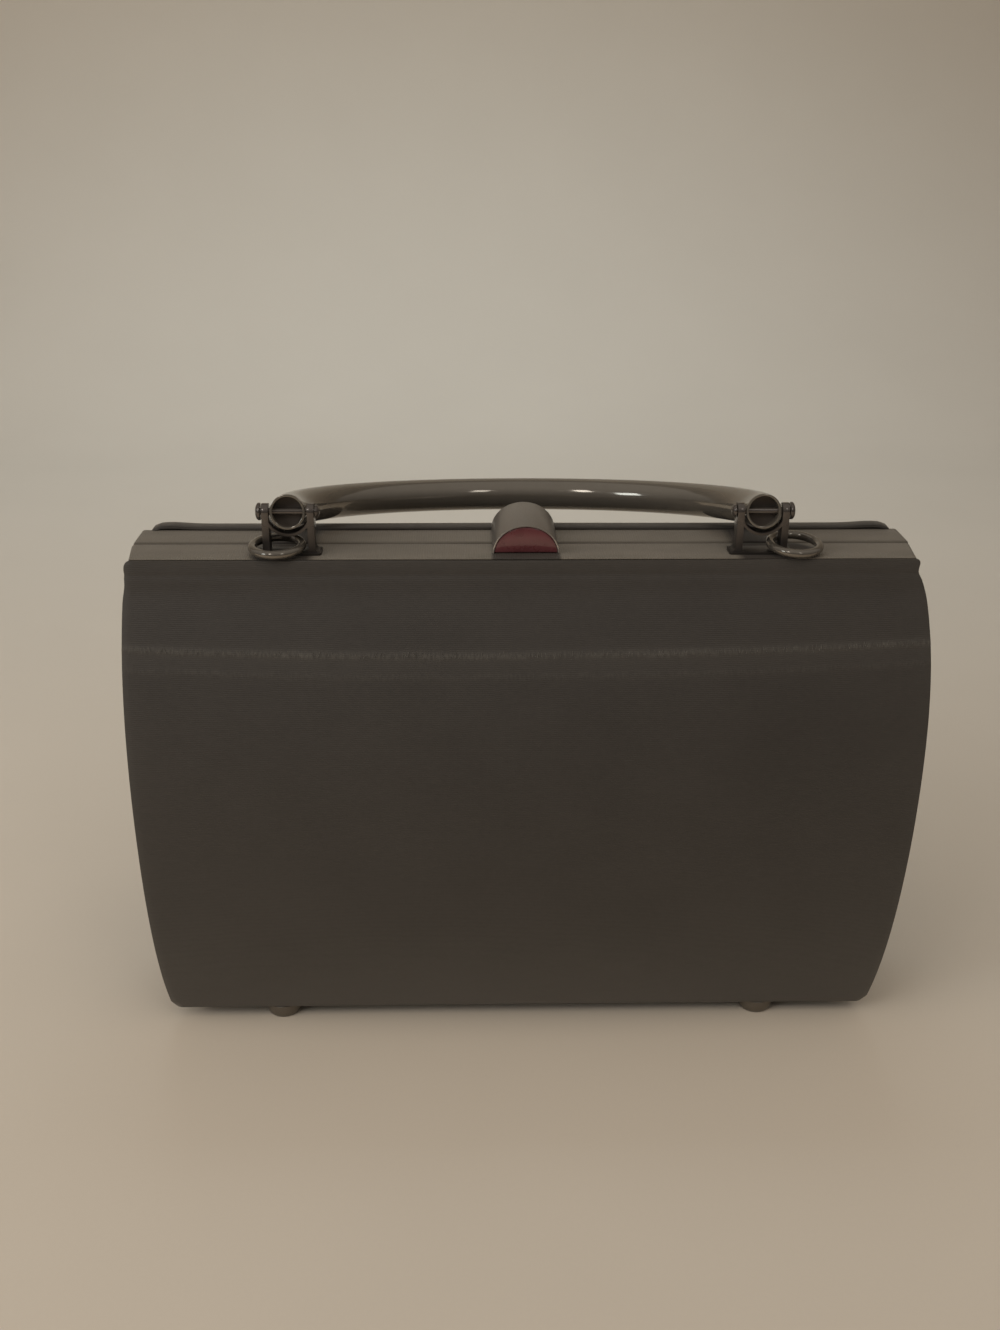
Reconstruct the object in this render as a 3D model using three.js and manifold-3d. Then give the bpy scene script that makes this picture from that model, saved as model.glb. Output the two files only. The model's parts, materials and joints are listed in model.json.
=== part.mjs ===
// A small framed evening handbag: two bowed fabric panels on a pair of covered frame bars,
// folded gussets, a base on four domed feet, a hinged tube handle and a barrel lift clasp.
// Millimetres. X runs along the frame, Y from front to back, Z up.
import * as THREE from 'three';
import { mergeVertices } from 'three/addons/utils/BufferGeometryUtils.js';
import Module from 'manifold-3d';

const wasm = await Module();
wasm.setup();

// Driving dimensions of the body
const FRAME_HALF_WIDTH = 100;
const FRAME_HALF_DEPTH = 14.6;
const BASE_HALF_WIDTH = 98.2;
const BASE_HALF_DEPTH = 16;
const BASE_Z = 4.5;
const RIM_FOOT_Z = 133.5;
const FRONT_RIM_TOP_Z = 137.5;
const BACK_RIM_TOP_Z = 138.2;
const SIDE_BULGE = 2;
const BULGE_AT_ENDS = 14;
const BULGE_AT_MIDDLE = 19;
const BOTTOM_CORNER_RADIUS = 2.5;
const PANEL_WALL = 2.5;
const GUSSET_WALL = 1.4;
const GUSSET_INSET = 1.2;
const GUSSET_FOLD_DEPTH = 9;
const BASE_WALL = 2.5;
const BASE_CORNER_RADIUS = 1;
const GAP = 0.3;

// Frame bars
const BAR_TOP_Z = 137;
const BAR_HEIGHT = 6;
const BAR_HALF_LENGTH = 99.5;
const BAR_EDGE_RADIUS = 1.2;
const BAR_SEAM = 0.5;

// Feet
const FOOT_X = 68;
const FOOT_Y = 10.6;
const FOOT_RADIUS = 5.2;
const FOOT_FLAT_RADIUS = 3.4;
const FOOT_DOME_HEIGHT = 3.4;

// Handle and its pivots
const PIVOT_X = 59.5;
const PIVOT_Y = -9;
const PIVOT_Z = 148.1;
const HANDLE_RISE = 48;
const HANDLE_DROOP = THREE.MathUtils.degToRad(10.4);
const TUBE_RADIUS = 4.4;
const TUBE_WALL = 0.9;
const TUBE_PAST_PIVOT = 2;

// Brackets and pins
const LEG_THICKNESS = 1.7;
const LEG_DEPTH = 4.2;
const LEG_CLEARANCE = 0.4;
const SADDLE_THICKNESS = 0.7;
const SADDLE_CLEARANCE = 0.4;
const PLATE_HALF_WIDTH = 8;
const PLATE_DEPTH = 5.6;
const PLATE_THICKNESS = 0.7;
const PIN_RADIUS = 0.9;
const PIN_HOLE_RADIUS = 1.2;
const PIN_HEAD_RADIUS = 2.2;
const PIN_HEAD_THICKNESS = 1.4;
const PIN_HEAD_EDGE = 0.5;
const PIN_NUT_RADIUS = 1.7;
const PIN_NUT_THICKNESS = 1.1;

// Strap rings, looped round the outer legs of the brackets and lying on the front bar. Their
// tilts are in degrees: how far the front and the outer side drop.
const RING_RADIUS = 6.2;
const RING_WIRE_RADIUS = 1.1;
const RINGS = [
  { side: 'left', x: -62.6, y: -10.35, z: 139.53, frontDrop: 4, outerDrop: 0.8 },
  { side: 'right', x: 68.15, y: -9.75, z: 139.52, frontDrop: 5.7, outerDrop: 1.8 },
];

// Clasp
const CLASP_HALF_WIDTH = 8.4;
const CLASP_HEIGHT = 7.3;
const CLASP_WALL = 0.8;
const CLASP_FRONT_Y = -10.5;
const CLASP_BACK_Y = 11.3;
const CLASP_UNDERSIDE_Z = 137.4;
const CLASP_PIVOT_Y = 9;
const CLASP_PIVOT_Z = 140.5;
const CLASP_BACK_WALL = 0.7;
const CAP_THICKNESS = 1.2;
const CAP_GAP = 0.2;
const HINGE_HALF_WIDTH = 5;
const HINGE_KNUCKLE_RADIUS = 1.3;
const HINGE_STEM_BACK = 0.3;
const HINGE_PIN_RADIUS = 0.7;
const HINGE_PIN_HOLE_RADIUS = 0.95;
const HINGE_PIN_HALF_LENGTH = 6.95;
const HINGE_PIN_END_GAP = 0.25;

// The handle reaches further back than the panel bows forward, so the origin shifts to the
// middle of the whole depth.
const FRONT_REACH = (BASE_HALF_DEPTH + FRAME_HALF_DEPTH) / 2 + BULGE_AT_MIDDLE;
const BACK_REACH = PIVOT_Y + HANDLE_RISE * Math.cos(HANDLE_DROOP) + TUBE_RADIUS;
const ORIGIN_Y = (BACK_REACH - FRONT_REACH) / 2;

// Facets
const PANEL_COLUMNS = 20;
const PANEL_ROWS = 15;
const GUSSET_COLUMNS = 12;
const GUSSET_ROWS = 14;
const ARCH_POINTS = 24;
const TUBE_STEPS = 40;
const TUBE_SIDES = 14;
const TURNED_SIDES = 16;
const ROD_SIDES = 12;
const RING_WIRE_SIDES = 8;
const RING_STEPS = 28;
const ARC_STEPS = 11;
const CORNER_STEPS = 4;
const FOOT_DOME_STEPS = 4;
const WELD = 1e-4;

const { lerp } = THREE.MathUtils;

// Materials
const fabric = new THREE.MeshStandardMaterial({ color: 0x14120f, roughness: 0.75, metalness: 0 });
const barFabric = new THREE.MeshStandardMaterial({ color: 0x241f1a, roughness: 0.65, metalness: 0 });
const gunmetal = new THREE.MeshStandardMaterial({ color: 0x5c554b, roughness: 0.25, metalness: 1 });
const enamel = new THREE.MeshStandardMaterial({ color: 0x2a0c0c, roughness: 0.2, metalness: 0 });

const bag = new THREE.Group();
bag.position.y = -ORIGIN_Y;

function addPiece(name, geometry, material) {
  const mesh = new THREE.Mesh(geometry, material.clone());
  mesh.name = name;
  bag.add(mesh);
  return mesh;
}

// Solids and cuts
function solidOf(geometry) {
  const bare = geometry.clone();
  for (const name of Object.keys(bare.attributes)) {
    if (name !== 'position') bare.deleteAttribute(name);
  }
  const merged = mergeVertices(bare, WELD);
  const vertProperties = Float32Array.from(merged.attributes.position.array);
  const triVerts = Uint32Array.from(merged.index.array);
  return new wasm.Manifold(new wasm.Mesh({ numProp: 3, vertProperties, triVerts }));
}

function geometryOf(solid) {
  const mesh = solid.getMesh();
  const geometry = new THREE.BufferGeometry();
  geometry.setAttribute('position', new THREE.BufferAttribute(Float32Array.from(mesh.vertProperties), 3));
  geometry.setIndex(new THREE.BufferAttribute(Uint32Array.from(mesh.triVerts), 1));
  geometry.computeVertexNormals();
  return geometry;
}

function straightExtrusion(shape, depth, curveSegments) {
  return new THREE.ExtrudeGeometry(shape, { depth, bevelEnabled: false, curveSegments });
}

// An outline drawn in (x, z), extruded from backY forwards to frontY.
function alongY(shape, frontY, backY) {
  const extrusion = straightExtrusion(shape, backY - frontY, ARC_STEPS);
  return extrusion.rotateX(Math.PI / 2).translate(0, backY, 0);
}

// An outline drawn in (y, z), extruded along X and centred on it.
function alongX(shape, halfLength) {
  const extrusion = straightExtrusion(shape, 2 * halfLength, CORNER_STEPS);
  const turn = new THREE.Matrix4().makeBasis(
    new THREE.Vector3(0, 1, 0),
    new THREE.Vector3(0, 0, 1),
    new THREE.Vector3(1, 0, 0),
  );
  return extrusion.applyMatrix4(turn).translate(-halfLength, 0, 0);
}

function rodAlongX(radius, halfLength, y, z) {
  const rod = new THREE.CylinderGeometry(radius, radius, 2 * halfLength, ROD_SIDES);
  return rod.rotateZ(Math.PI / 2).translate(0, y, z);
}

// A closed wall between an outer and an inner sheet, both given at (u, v). Seen from outside,
// u runs to the right and v runs up.
function wallBetween(outer, inner, uStops, vStops) {
  const columns = uStops.length;
  const positions = [];
  for (const sheet of [outer, inner]) {
    for (const v of vStops) {
      for (const u of uStops) positions.push(...sheet(u, v));
    }
  }
  const innerStart = columns * vStops.length;
  const indices = [];
  const quad = (a, b, c, d) => indices.push(a, b, c, a, c, d);
  const at = (column, row) => row * columns + column;
  for (let row = 0; row + 1 < vStops.length; row += 1) {
    for (let column = 0; column + 1 < columns; column += 1) {
      const a = at(column, row);
      const b = at(column + 1, row);
      const c = at(column + 1, row + 1);
      const d = at(column, row + 1);
      quad(a, b, c, d);
      quad(innerStart + b, innerStart + a, innerStart + d, innerStart + c);
    }
  }
  const border = [];
  const lastRow = vStops.length - 1;
  for (let column = 0; column + 1 < columns; column += 1) border.push(at(column, 0));
  for (let row = 0; row < lastRow; row += 1) border.push(at(columns - 1, row));
  for (let column = columns - 1; column > 0; column -= 1) border.push(at(column, lastRow));
  for (let row = lastRow; row > 0; row -= 1) border.push(at(0, row));
  border.forEach((from, index) => {
    const to = border[(index + 1) % border.length];
    quad(to, from, innerStart + from, innerStart + to);
  });
  const geometry = new THREE.BufferGeometry();
  geometry.setAttribute('position', new THREE.Float32BufferAttribute(positions, 3));
  geometry.setIndex(indices);
  geometry.computeVertexNormals();
  return geometry;
}

function stops(from, to, count) {
  return Array.from({ length: count + 1 }, (_, index) => lerp(from, to, index / count));
}

// Stops that crowd towards both ends, where the panels curve most.
function easedStops(from, to, count) {
  return stops(0, Math.PI, count).map((angle) => lerp(from, to, (1 - Math.cos(angle)) / 2));
}

// Body surfaces
// Share of the height between the base and the foot of the rim band.
function heightShare(z) {
  return Math.min(1, Math.max(0, (z - BASE_Z) / (RIM_FOOT_Z - BASE_Z)));
}

function bow(share) {
  return 4 * share * (1 - share);
}

function halfWidthAt(z) {
  const share = heightShare(z);
  const straight = lerp(BASE_HALF_WIDTH, FRAME_HALF_WIDTH, share) + SIDE_BULGE * Math.sqrt(bow(share));
  const intoCorner = Math.max(0, BASE_Z + BOTTOM_CORNER_RADIUS - z);
  return straight - BOTTOM_CORNER_RADIUS + Math.sqrt(BOTTOM_CORNER_RADIUS ** 2 - intoCorner ** 2);
}

function halfDepthAt(t, z) {
  const share = heightShare(z);
  const bulge = lerp(BULGE_AT_MIDDLE, BULGE_AT_ENDS, t * t);
  return lerp(BASE_HALF_DEPTH, FRAME_HALF_DEPTH, share) + bulge * bow(share);
}

function panel(rimTopZ) {
  const outer = (t, z) => [t * halfWidthAt(z), -halfDepthAt(t, z), z];
  const inner = (t, z) => [t * halfWidthAt(z), PANEL_WALL - halfDepthAt(t, z), z];
  const levels = [...easedStops(BASE_Z, RIM_FOOT_Z, PANEL_ROWS), rimTopZ];
  return wallBetween(outer, inner, stops(-1, 1, PANEL_COLUMNS), levels);
}

// A side wall with a vertical fold that is deepest at the frame and dies out at the base.
function gusset() {
  const halfSpanAt = (z) => halfDepthAt(1, z) - PANEL_WALL - GAP;
  const quarterTurn = Math.PI / 2;
  const fadeAt = (z) => Math.sin(heightShare(z) * quarterTurn);
  const foldAt = (t, z) => GUSSET_FOLD_DEPTH * fadeAt(z) * Math.cos(t * quarterTurn) ** 2;
  const sheet = (offset) => (t, z) => [
    halfWidthAt(z) - GUSSET_INSET - offset - foldAt(t, z),
    t * halfSpanAt(z),
    z,
  ];
  const levels = easedStops(BASE_Z, BAR_TOP_Z - BAR_HEIGHT - GAP, GUSSET_ROWS);
  return wallBetween(sheet(0), sheet(GUSSET_WALL), stops(-1, 1, GUSSET_COLUMNS), levels);
}

function roundedRectangle(x0, y0, x1, y1, radius) {
  const shape = new THREE.Shape();
  shape.absarc(x1 - radius, y0 + radius, radius, -Math.PI / 2, 0);
  shape.absarc(x1 - radius, y1 - radius, radius, 0, Math.PI / 2);
  shape.absarc(x0 + radius, y1 - radius, radius, Math.PI / 2, Math.PI);
  shape.absarc(x0 + radius, y0 + radius, radius, Math.PI, 1.5 * Math.PI);
  shape.closePath();
  return shape;
}

function basePanel() {
  const halfWidth = halfWidthAt(BASE_Z) - GUSSET_INSET - GUSSET_WALL - GAP;
  const halfDepth = BASE_HALF_DEPTH - PANEL_WALL - GAP;
  const outline = roundedRectangle(-halfWidth, -halfDepth, halfWidth, halfDepth, BASE_CORNER_RADIUS);
  return straightExtrusion(outline, BASE_WALL, CORNER_STEPS).translate(0, 0, BASE_Z);
}

function foot() {
  const topZ = BASE_Z - GAP;
  const profile = [new THREE.Vector2(0, 0), new THREE.Vector2(FOOT_FLAT_RADIUS, 0)];
  for (const angle of stops(0, Math.PI / 2, FOOT_DOME_STEPS).slice(1)) {
    const radius = lerp(FOOT_FLAT_RADIUS, FOOT_RADIUS, Math.sin(angle));
    profile.push(new THREE.Vector2(radius, FOOT_DOME_HEIGHT * (1 - Math.cos(angle))));
  }
  profile.push(new THREE.Vector2(FOOT_RADIUS, topZ), new THREE.Vector2(0, topZ));
  return new THREE.LatheGeometry(profile, TURNED_SIDES).rotateX(Math.PI / 2);
}

// The bar fills its half of the frame, from the middle seam to the panel's rim.
function frameBar() {
  const nearSeam = BAR_SEAM / 2;
  const nearRim = FRAME_HALF_DEPTH - PANEL_WALL - GAP;
  const underside = BAR_TOP_Z - BAR_HEIGHT;
  const section = roundedRectangle(-nearRim, underside, -nearSeam, BAR_TOP_Z, BAR_EDGE_RADIUS);
  return alongX(section, BAR_HALF_LENGTH);
}

// Handle hardware
function arch() {
  const points = [new THREE.Vector3(-PIVOT_X, -TUBE_PAST_PIVOT, 0)];
  for (const angle of stops(Math.PI, 0, ARCH_POINTS)) {
    points.push(new THREE.Vector3(PIVOT_X * Math.cos(angle), HANDLE_RISE * Math.sin(angle), 0));
  }
  points.push(new THREE.Vector3(PIVOT_X, -TUBE_PAST_PIVOT, 0));
  return new THREE.CatmullRomCurve3(points);
}

// An open tube bent to half an ellipse, drilled for the pivot pins and folded back.
function handle() {
  const section = new THREE.Shape().absarc(0, 0, TUBE_RADIUS, 0, 2 * Math.PI);
  section.holes.push(new THREE.Path().absarc(0, 0, TUBE_RADIUS - TUBE_WALL, 0, 2 * Math.PI));
  const bend = { extrudePath: arch(), steps: TUBE_STEPS, curveSegments: TUBE_SIDES / 2 };
  const tube = new THREE.ExtrudeGeometry(section, bend);
  const drill = rodAlongX(PIN_HOLE_RADIUS, PIVOT_X + 2 * TUBE_RADIUS, 0, 0);
  const drilled = geometryOf(solidOf(tube).subtract(solidOf(drill)));
  return drilled.rotateX(-HANDLE_DROOP).translate(0, PIVOT_Y, PIVOT_Z);
}

const LEG_INNER = TUBE_RADIUS + LEG_CLEARANCE;
const LEG_OUTER = LEG_INNER + LEG_THICKNESS;
const LEG_TOP_Z = PIVOT_Z + LEG_DEPTH / 2;
const PLATE_BOTTOM_Z = BAR_TOP_Z + GAP;
const PLATE_TOP_Z = PLATE_BOTTOM_Z + PLATE_THICKNESS;
const SADDLE_TOP_RADIUS = Math.hypot(TUBE_RADIUS, TUBE_PAST_PIVOT) + SADDLE_CLEARANCE;
const SADDLE_UNDER_RADIUS = SADDLE_TOP_RADIUS + SADDLE_THICKNESS;

// Two round-topped legs on a plate, tied by a curved saddle that leaves a window below it.
function bracket() {
  const legs = new THREE.Shape();
  const saddleEnd = Math.asin(LEG_INNER / SADDLE_TOP_RADIUS);
  legs.moveTo(-LEG_OUTER, PLATE_BOTTOM_Z);
  legs.lineTo(LEG_OUTER, PLATE_BOTTOM_Z);
  legs.lineTo(LEG_OUTER, LEG_TOP_Z);
  legs.lineTo(LEG_INNER, LEG_TOP_Z);
  legs.absarc(0, PIVOT_Z, SADDLE_TOP_RADIUS, saddleEnd - Math.PI / 2, -saddleEnd - Math.PI / 2, true);
  legs.lineTo(-LEG_INNER, LEG_TOP_Z);
  legs.lineTo(-LEG_OUTER, LEG_TOP_Z);
  legs.closePath();
  const window = new THREE.Path();
  const underEnd = Math.asin(LEG_INNER / SADDLE_UNDER_RADIUS);
  window.absarc(0, PIVOT_Z, SADDLE_UNDER_RADIUS, -underEnd - Math.PI / 2, underEnd - Math.PI / 2);
  window.lineTo(LEG_INNER, PLATE_TOP_Z);
  window.lineTo(-LEG_INNER, PLATE_TOP_Z);
  window.closePath();
  legs.holes.push(window);

  const side = new THREE.Shape();
  side.moveTo(-LEG_DEPTH / 2, PLATE_BOTTOM_Z);
  side.lineTo(LEG_DEPTH / 2, PLATE_BOTTOM_Z);
  side.absarc(0, PIVOT_Z, LEG_DEPTH / 2, 0, Math.PI);
  side.closePath();

  const plate = new THREE.BoxGeometry(2 * PLATE_HALF_WIDTH, PLATE_DEPTH, PLATE_THICKNESS);
  plate.translate(0, 0, PLATE_BOTTOM_Z + PLATE_THICKNESS / 2);
  const solid = solidOf(alongY(legs, -LEG_DEPTH / 2, LEG_DEPTH / 2))
    .intersect(solidOf(alongX(side, PLATE_HALF_WIDTH)))
    .add(solidOf(plate))
    .subtract(solidOf(rodAlongX(PIN_HOLE_RADIUS, PLATE_HALF_WIDTH, 0, PIVOT_Z)));
  return geometryOf(solid);
}

// A screw pin with a domed head on its outer end and a small round nut on its inner end.
function pin() {
  const nutX = -LEG_OUTER - GAP;
  const headX = LEG_OUTER + GAP;
  const dome = (radius, share) => radius * Math.sqrt(1 - share * share);
  const profile = [new THREE.Vector2(0, nutX - PIN_NUT_THICKNESS)];
  for (const share of [0.8, 0.4, 0]) {
    profile.push(new THREE.Vector2(dome(PIN_NUT_RADIUS, share), nutX - PIN_NUT_THICKNESS * share));
  }
  profile.push(new THREE.Vector2(PIN_RADIUS, nutX), new THREE.Vector2(PIN_RADIUS, headX));
  profile.push(new THREE.Vector2(PIN_HEAD_RADIUS, headX));
  const domeFootX = headX + PIN_HEAD_EDGE;
  const headEndX = headX + PIN_HEAD_THICKNESS;
  for (const share of [0, 0.5, 0.85]) {
    profile.push(new THREE.Vector2(dome(PIN_HEAD_RADIUS, share), lerp(domeFootX, headEndX, share)));
  }
  profile.push(new THREE.Vector2(0, headEndX));
  return new THREE.LatheGeometry(profile, TURNED_SIDES).rotateZ(-Math.PI / 2);
}

// Clasp
// Half an ellipse standing on its chord, with a straight skirt below the chord.
function halfBarrel(halfWidth, height, skirt) {
  const shape = new THREE.Shape();
  shape.absellipse(0, CLASP_UNDERSIDE_Z, halfWidth, height, 0, Math.PI);
  shape.lineTo(-halfWidth, CLASP_UNDERSIDE_Z - skirt);
  shape.lineTo(halfWidth, CLASP_UNDERSIDE_Z - skirt);
  shape.closePath();
  return shape;
}

// A hollow lever whose lower back corner is rounded about the pivot so that it can lift.
function claspLever() {
  const skirt = 1;
  const outer = alongY(halfBarrel(CLASP_HALF_WIDTH, CLASP_HEIGHT, skirt), CLASP_FRONT_Y, CLASP_BACK_Y);
  const hollowShape = halfBarrel(CLASP_HALF_WIDTH - CLASP_WALL, CLASP_HEIGHT - CLASP_WALL, 2 * skirt);
  const hollow = alongY(hollowShape, CLASP_FRONT_Y - skirt, CLASP_BACK_Y - CLASP_BACK_WALL);
  const cornerRadius = CLASP_PIVOT_Z - CLASP_UNDERSIDE_Z;
  const aboveTop = CLASP_UNDERSIDE_Z + CLASP_HEIGHT + skirt;
  const side = new THREE.Shape();
  side.absarc(CLASP_PIVOT_Y, CLASP_PIVOT_Z, cornerRadius, -Math.PI / 2, 0);
  side.lineTo(CLASP_PIVOT_Y + cornerRadius, aboveTop);
  side.lineTo(CLASP_FRONT_Y - skirt, aboveTop);
  side.lineTo(CLASP_FRONT_Y - skirt, CLASP_UNDERSIDE_Z);
  side.closePath();
  const notchHalfWidth = HINGE_HALF_WIDTH + GAP;
  const notchTop = CLASP_PIVOT_Z + HINGE_STEM_BACK + GAP;
  const notchHeight = notchTop - CLASP_UNDERSIDE_Z + skirt;
  const notch = new THREE.BoxGeometry(2 * notchHalfWidth, 2 * cornerRadius, notchHeight);
  notch.translate(0, CLASP_BACK_Y, notchTop - notchHeight / 2);
  const pinReach = HINGE_PIN_HALF_LENGTH + HINGE_PIN_END_GAP;
  const pinHole = rodAlongX(HINGE_PIN_HOLE_RADIUS, pinReach, CLASP_PIVOT_Y, CLASP_PIVOT_Z);
  const solid = solidOf(outer)
    .intersect(solidOf(alongX(side, CLASP_HALF_WIDTH + skirt)))
    .subtract(solidOf(hollow))
    .subtract(solidOf(notch))
    .subtract(solidOf(pinHole));
  return geometryOf(solid);
}

function claspCap() {
  const inset = CLASP_WALL + CAP_GAP;
  const outline = new THREE.Shape();
  outline.absellipse(0, CLASP_UNDERSIDE_Z, CLASP_HALF_WIDTH - inset, CLASP_HEIGHT - inset, 0, Math.PI);
  outline.closePath();
  return alongY(outline, CLASP_FRONT_Y, CLASP_FRONT_Y + CAP_THICKNESS);
}

// A knuckle on a stem that stands on the back bar, with the lever's pin through it.
function claspHinge() {
  const footZ = BAR_TOP_Z + GAP;
  const side = new THREE.Shape();
  side.moveTo(CLASP_PIVOT_Y - HINGE_KNUCKLE_RADIUS, footZ);
  side.lineTo(CLASP_PIVOT_Y + HINGE_STEM_BACK, footZ);
  side.lineTo(CLASP_PIVOT_Y + HINGE_STEM_BACK, CLASP_PIVOT_Z - HINGE_KNUCKLE_RADIUS);
  side.absarc(CLASP_PIVOT_Y, CLASP_PIVOT_Z, HINGE_KNUCKLE_RADIUS, -Math.PI / 3, Math.PI);
  side.closePath();
  const pinRod = rodAlongX(HINGE_PIN_RADIUS, HINGE_PIN_HALF_LENGTH, CLASP_PIVOT_Y, CLASP_PIVOT_Z);
  return geometryOf(solidOf(alongX(side, HINGE_HALF_WIDTH)).add(solidOf(pinRod)));
}

// Assembly
addPiece('front_panel', panel(FRONT_RIM_TOP_Z), fabric);
addPiece('back_panel', panel(BACK_RIM_TOP_Z), fabric).rotation.z = Math.PI;
addPiece('base_panel', basePanel(), fabric);
addPiece('gusset_right', gusset(), fabric);
addPiece('gusset_left', gusset(), fabric).rotation.z = Math.PI;
addPiece('frame_bar_front', frameBar(), barFabric);
addPiece('frame_bar_back', frameBar(), barFabric).rotation.z = Math.PI;

for (const [end, y] of [['front', -FOOT_Y], ['back', FOOT_Y]]) {
  for (const [side, x] of [['left', -FOOT_X], ['right', FOOT_X]]) {
    addPiece(`foot_${end}_${side}`, foot(), gunmetal).position.set(x, y, 0);
  }
}

for (const [side, x, outward] of [['left', -PIVOT_X, Math.PI], ['right', PIVOT_X, 0]]) {
  addPiece(`bracket_${side}`, bracket(), gunmetal).position.set(x, PIVOT_Y, 0);
  const screw = addPiece(`pin_${side}`, pin(), gunmetal);
  screw.position.set(x, PIVOT_Y, PIVOT_Z);
  screw.rotation.z = outward;
}

for (const { side, x, y, z, frontDrop, outerDrop } of RINGS) {
  const loop = new THREE.TorusGeometry(RING_RADIUS, RING_WIRE_RADIUS, RING_WIRE_SIDES, RING_STEPS);
  const ring = addPiece(`ring_${side}`, loop, gunmetal);
  ring.position.set(x, y, z);
  ring.rotation.x = THREE.MathUtils.degToRad(frontDrop);
  ring.rotation.y = THREE.MathUtils.degToRad(Math.sign(x) * outerDrop);
}

addPiece('handle', handle(), gunmetal);
addPiece('clasp_lever', claspLever(), gunmetal);
addPiece('clasp_cap', claspCap(), enamel);
addPiece('clasp_hinge', claspHinge(), gunmetal);

export default bag;
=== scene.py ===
"""The finish of a small framed evening handbag: ribbed black cloth on a covered frame, folded
side cloths, a gunmetal tube handle on two clevis brackets, loose strap rings and a barrel clasp
with a garnet front. Shapes are worked out in millimetres, with depths from the middle seam."""

import json
import math

import bpy
import numpy as np
from mathutils import Matrix, Vector


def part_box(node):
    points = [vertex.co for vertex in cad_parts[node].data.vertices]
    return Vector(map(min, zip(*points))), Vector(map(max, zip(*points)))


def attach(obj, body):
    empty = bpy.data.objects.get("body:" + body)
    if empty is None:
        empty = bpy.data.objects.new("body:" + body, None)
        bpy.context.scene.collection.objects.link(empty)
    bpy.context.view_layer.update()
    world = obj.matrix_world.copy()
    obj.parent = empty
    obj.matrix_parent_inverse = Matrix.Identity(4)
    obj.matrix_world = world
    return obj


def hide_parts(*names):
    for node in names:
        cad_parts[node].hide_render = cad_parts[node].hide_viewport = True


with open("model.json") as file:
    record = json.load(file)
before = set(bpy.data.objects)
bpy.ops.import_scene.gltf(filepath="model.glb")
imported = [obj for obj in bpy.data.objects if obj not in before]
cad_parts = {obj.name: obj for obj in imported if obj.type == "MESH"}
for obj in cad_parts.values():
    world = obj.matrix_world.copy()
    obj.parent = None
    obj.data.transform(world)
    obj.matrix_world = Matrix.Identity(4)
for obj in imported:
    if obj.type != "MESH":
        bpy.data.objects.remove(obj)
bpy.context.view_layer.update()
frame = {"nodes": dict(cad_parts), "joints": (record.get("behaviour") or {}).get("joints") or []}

MM = 0.001

# How far cutters run past what they cut, and how close two places count as the same
CUT_PAST = 1.0
SAME_PLACE = 0.01


def node_box(node):
    """Lowest and highest corner of a solid in the frame, in millimetres."""
    low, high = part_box(node)
    return low / MM, high / MM


def joint_place(name):
    """Where a joint's axis passes, in millimetres."""
    joint = next(j for j in frame["joints"] if j["name"] == name)
    return Vector(joint["pos_m"]) / MM


# Places read from the frame
front_bar_low, front_bar_high = node_box("frame_bar_front")
back_bar_low, back_bar_high = node_box("frame_bar_back")
front_panel_low, _ = node_box("front_panel")
_, back_panel_high = node_box("back_panel")
base_low, base_high = node_box("base_panel")
SEAM_Y = (front_bar_high.y + back_bar_low.y) / 2
BASE_Z = front_panel_low.z
BAR_TOP_Z = front_bar_high.z
BAR_BOTTOM_Z = front_bar_low.z
BAR_HALF_DEPTH = back_bar_high.y - SEAM_Y
FOOT_NODES = [node for node in frame["nodes"] if node.startswith("foot_")]

# Body
FRAME_HALF_WIDTH = 100.0
BASE_HALF_WIDTH = 98.2
BASE_HALF_DEPTH = 16.0
PANEL_WALL = 2.5
CLEARANCE = 0.3
FRAME_HALF_DEPTH = BAR_HALF_DEPTH + CLEARANCE + PANEL_WALL
RIM_FOOT_Z = 133.5
SIDE_BULGE = 2.0
BULGE_AT_ENDS = 14.0
BULGE_AT_MIDDLE = 19.0
BOTTOM_CORNER_RADIUS = 2.5
EDGE_ROLL = 0.4
GUSSET_WALL = 1.4
GUSSET_INSET = 1.2
GUSSET_FOLD_DEPTH = 9.0
GUSSET_SLACK = 3
UNEVEN_DEPTH = 0.04
UNEVEN_WAVES = (0.02, 0.09)

# Steps between the points of the cloth meshes
PANEL_STEP_ACROSS = 1.8
PANEL_STEP_UP = 2.4
RIM_STEP = 0.5
CREASE_STEP = 0.4
OVER_BAR_STEP = 0.1
GUSSET_STEP_UP = 1.8
GUSSET_STEP_SHARE = 0.045
GUSSET_EDGE_SHARE = 0.1
BASE_STEP_ACROSS = 3.0
BASE_STEP_BACK = 2.0

# Uneven sides: the left one waves a little, the right one stands out and is drawn in at the rim
LEFT_WAVE = 0.3
LEFT_WAVES = 1.15
RIGHT_SWELL = 1.6
RIGHT_PINCH = 1.2
RIGHT_PINCH_Z = 134.4
RIGHT_PINCH_HEIGHT = 2.4

# Rolled rims: a bead over a neck. The front panel has a shoulder at the foot of its rim and rounded
# top corners. The back rim leans over its bar and rises a little before its rounded ends.
RIM_BEAD = 0.3
RIM_BEAD_Z = 134.8
RIM_BEAD_HEIGHT = 1.8
RIM_NECK = 0.28
RIM_NECK_Z = 130.8
RIM_NECK_HEIGHT = 2.2
SHOULDER = 0.9
SHOULDER_HEIGHT = 3.2
TOP_CORNER_RADIUS = 1.4
BACK_RIM_LEAN = 1.2
BACK_RIM_LEAN_HEIGHT = 0.2
BACK_RIM_PEAK = 0.45
BACK_RIM_PEAK_X = 93.5
BACK_RIM_PEAK_HALF = 5.0
BACK_RIM_END_X = 94.5
BACK_RIM_END_DROP = 3.0

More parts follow.
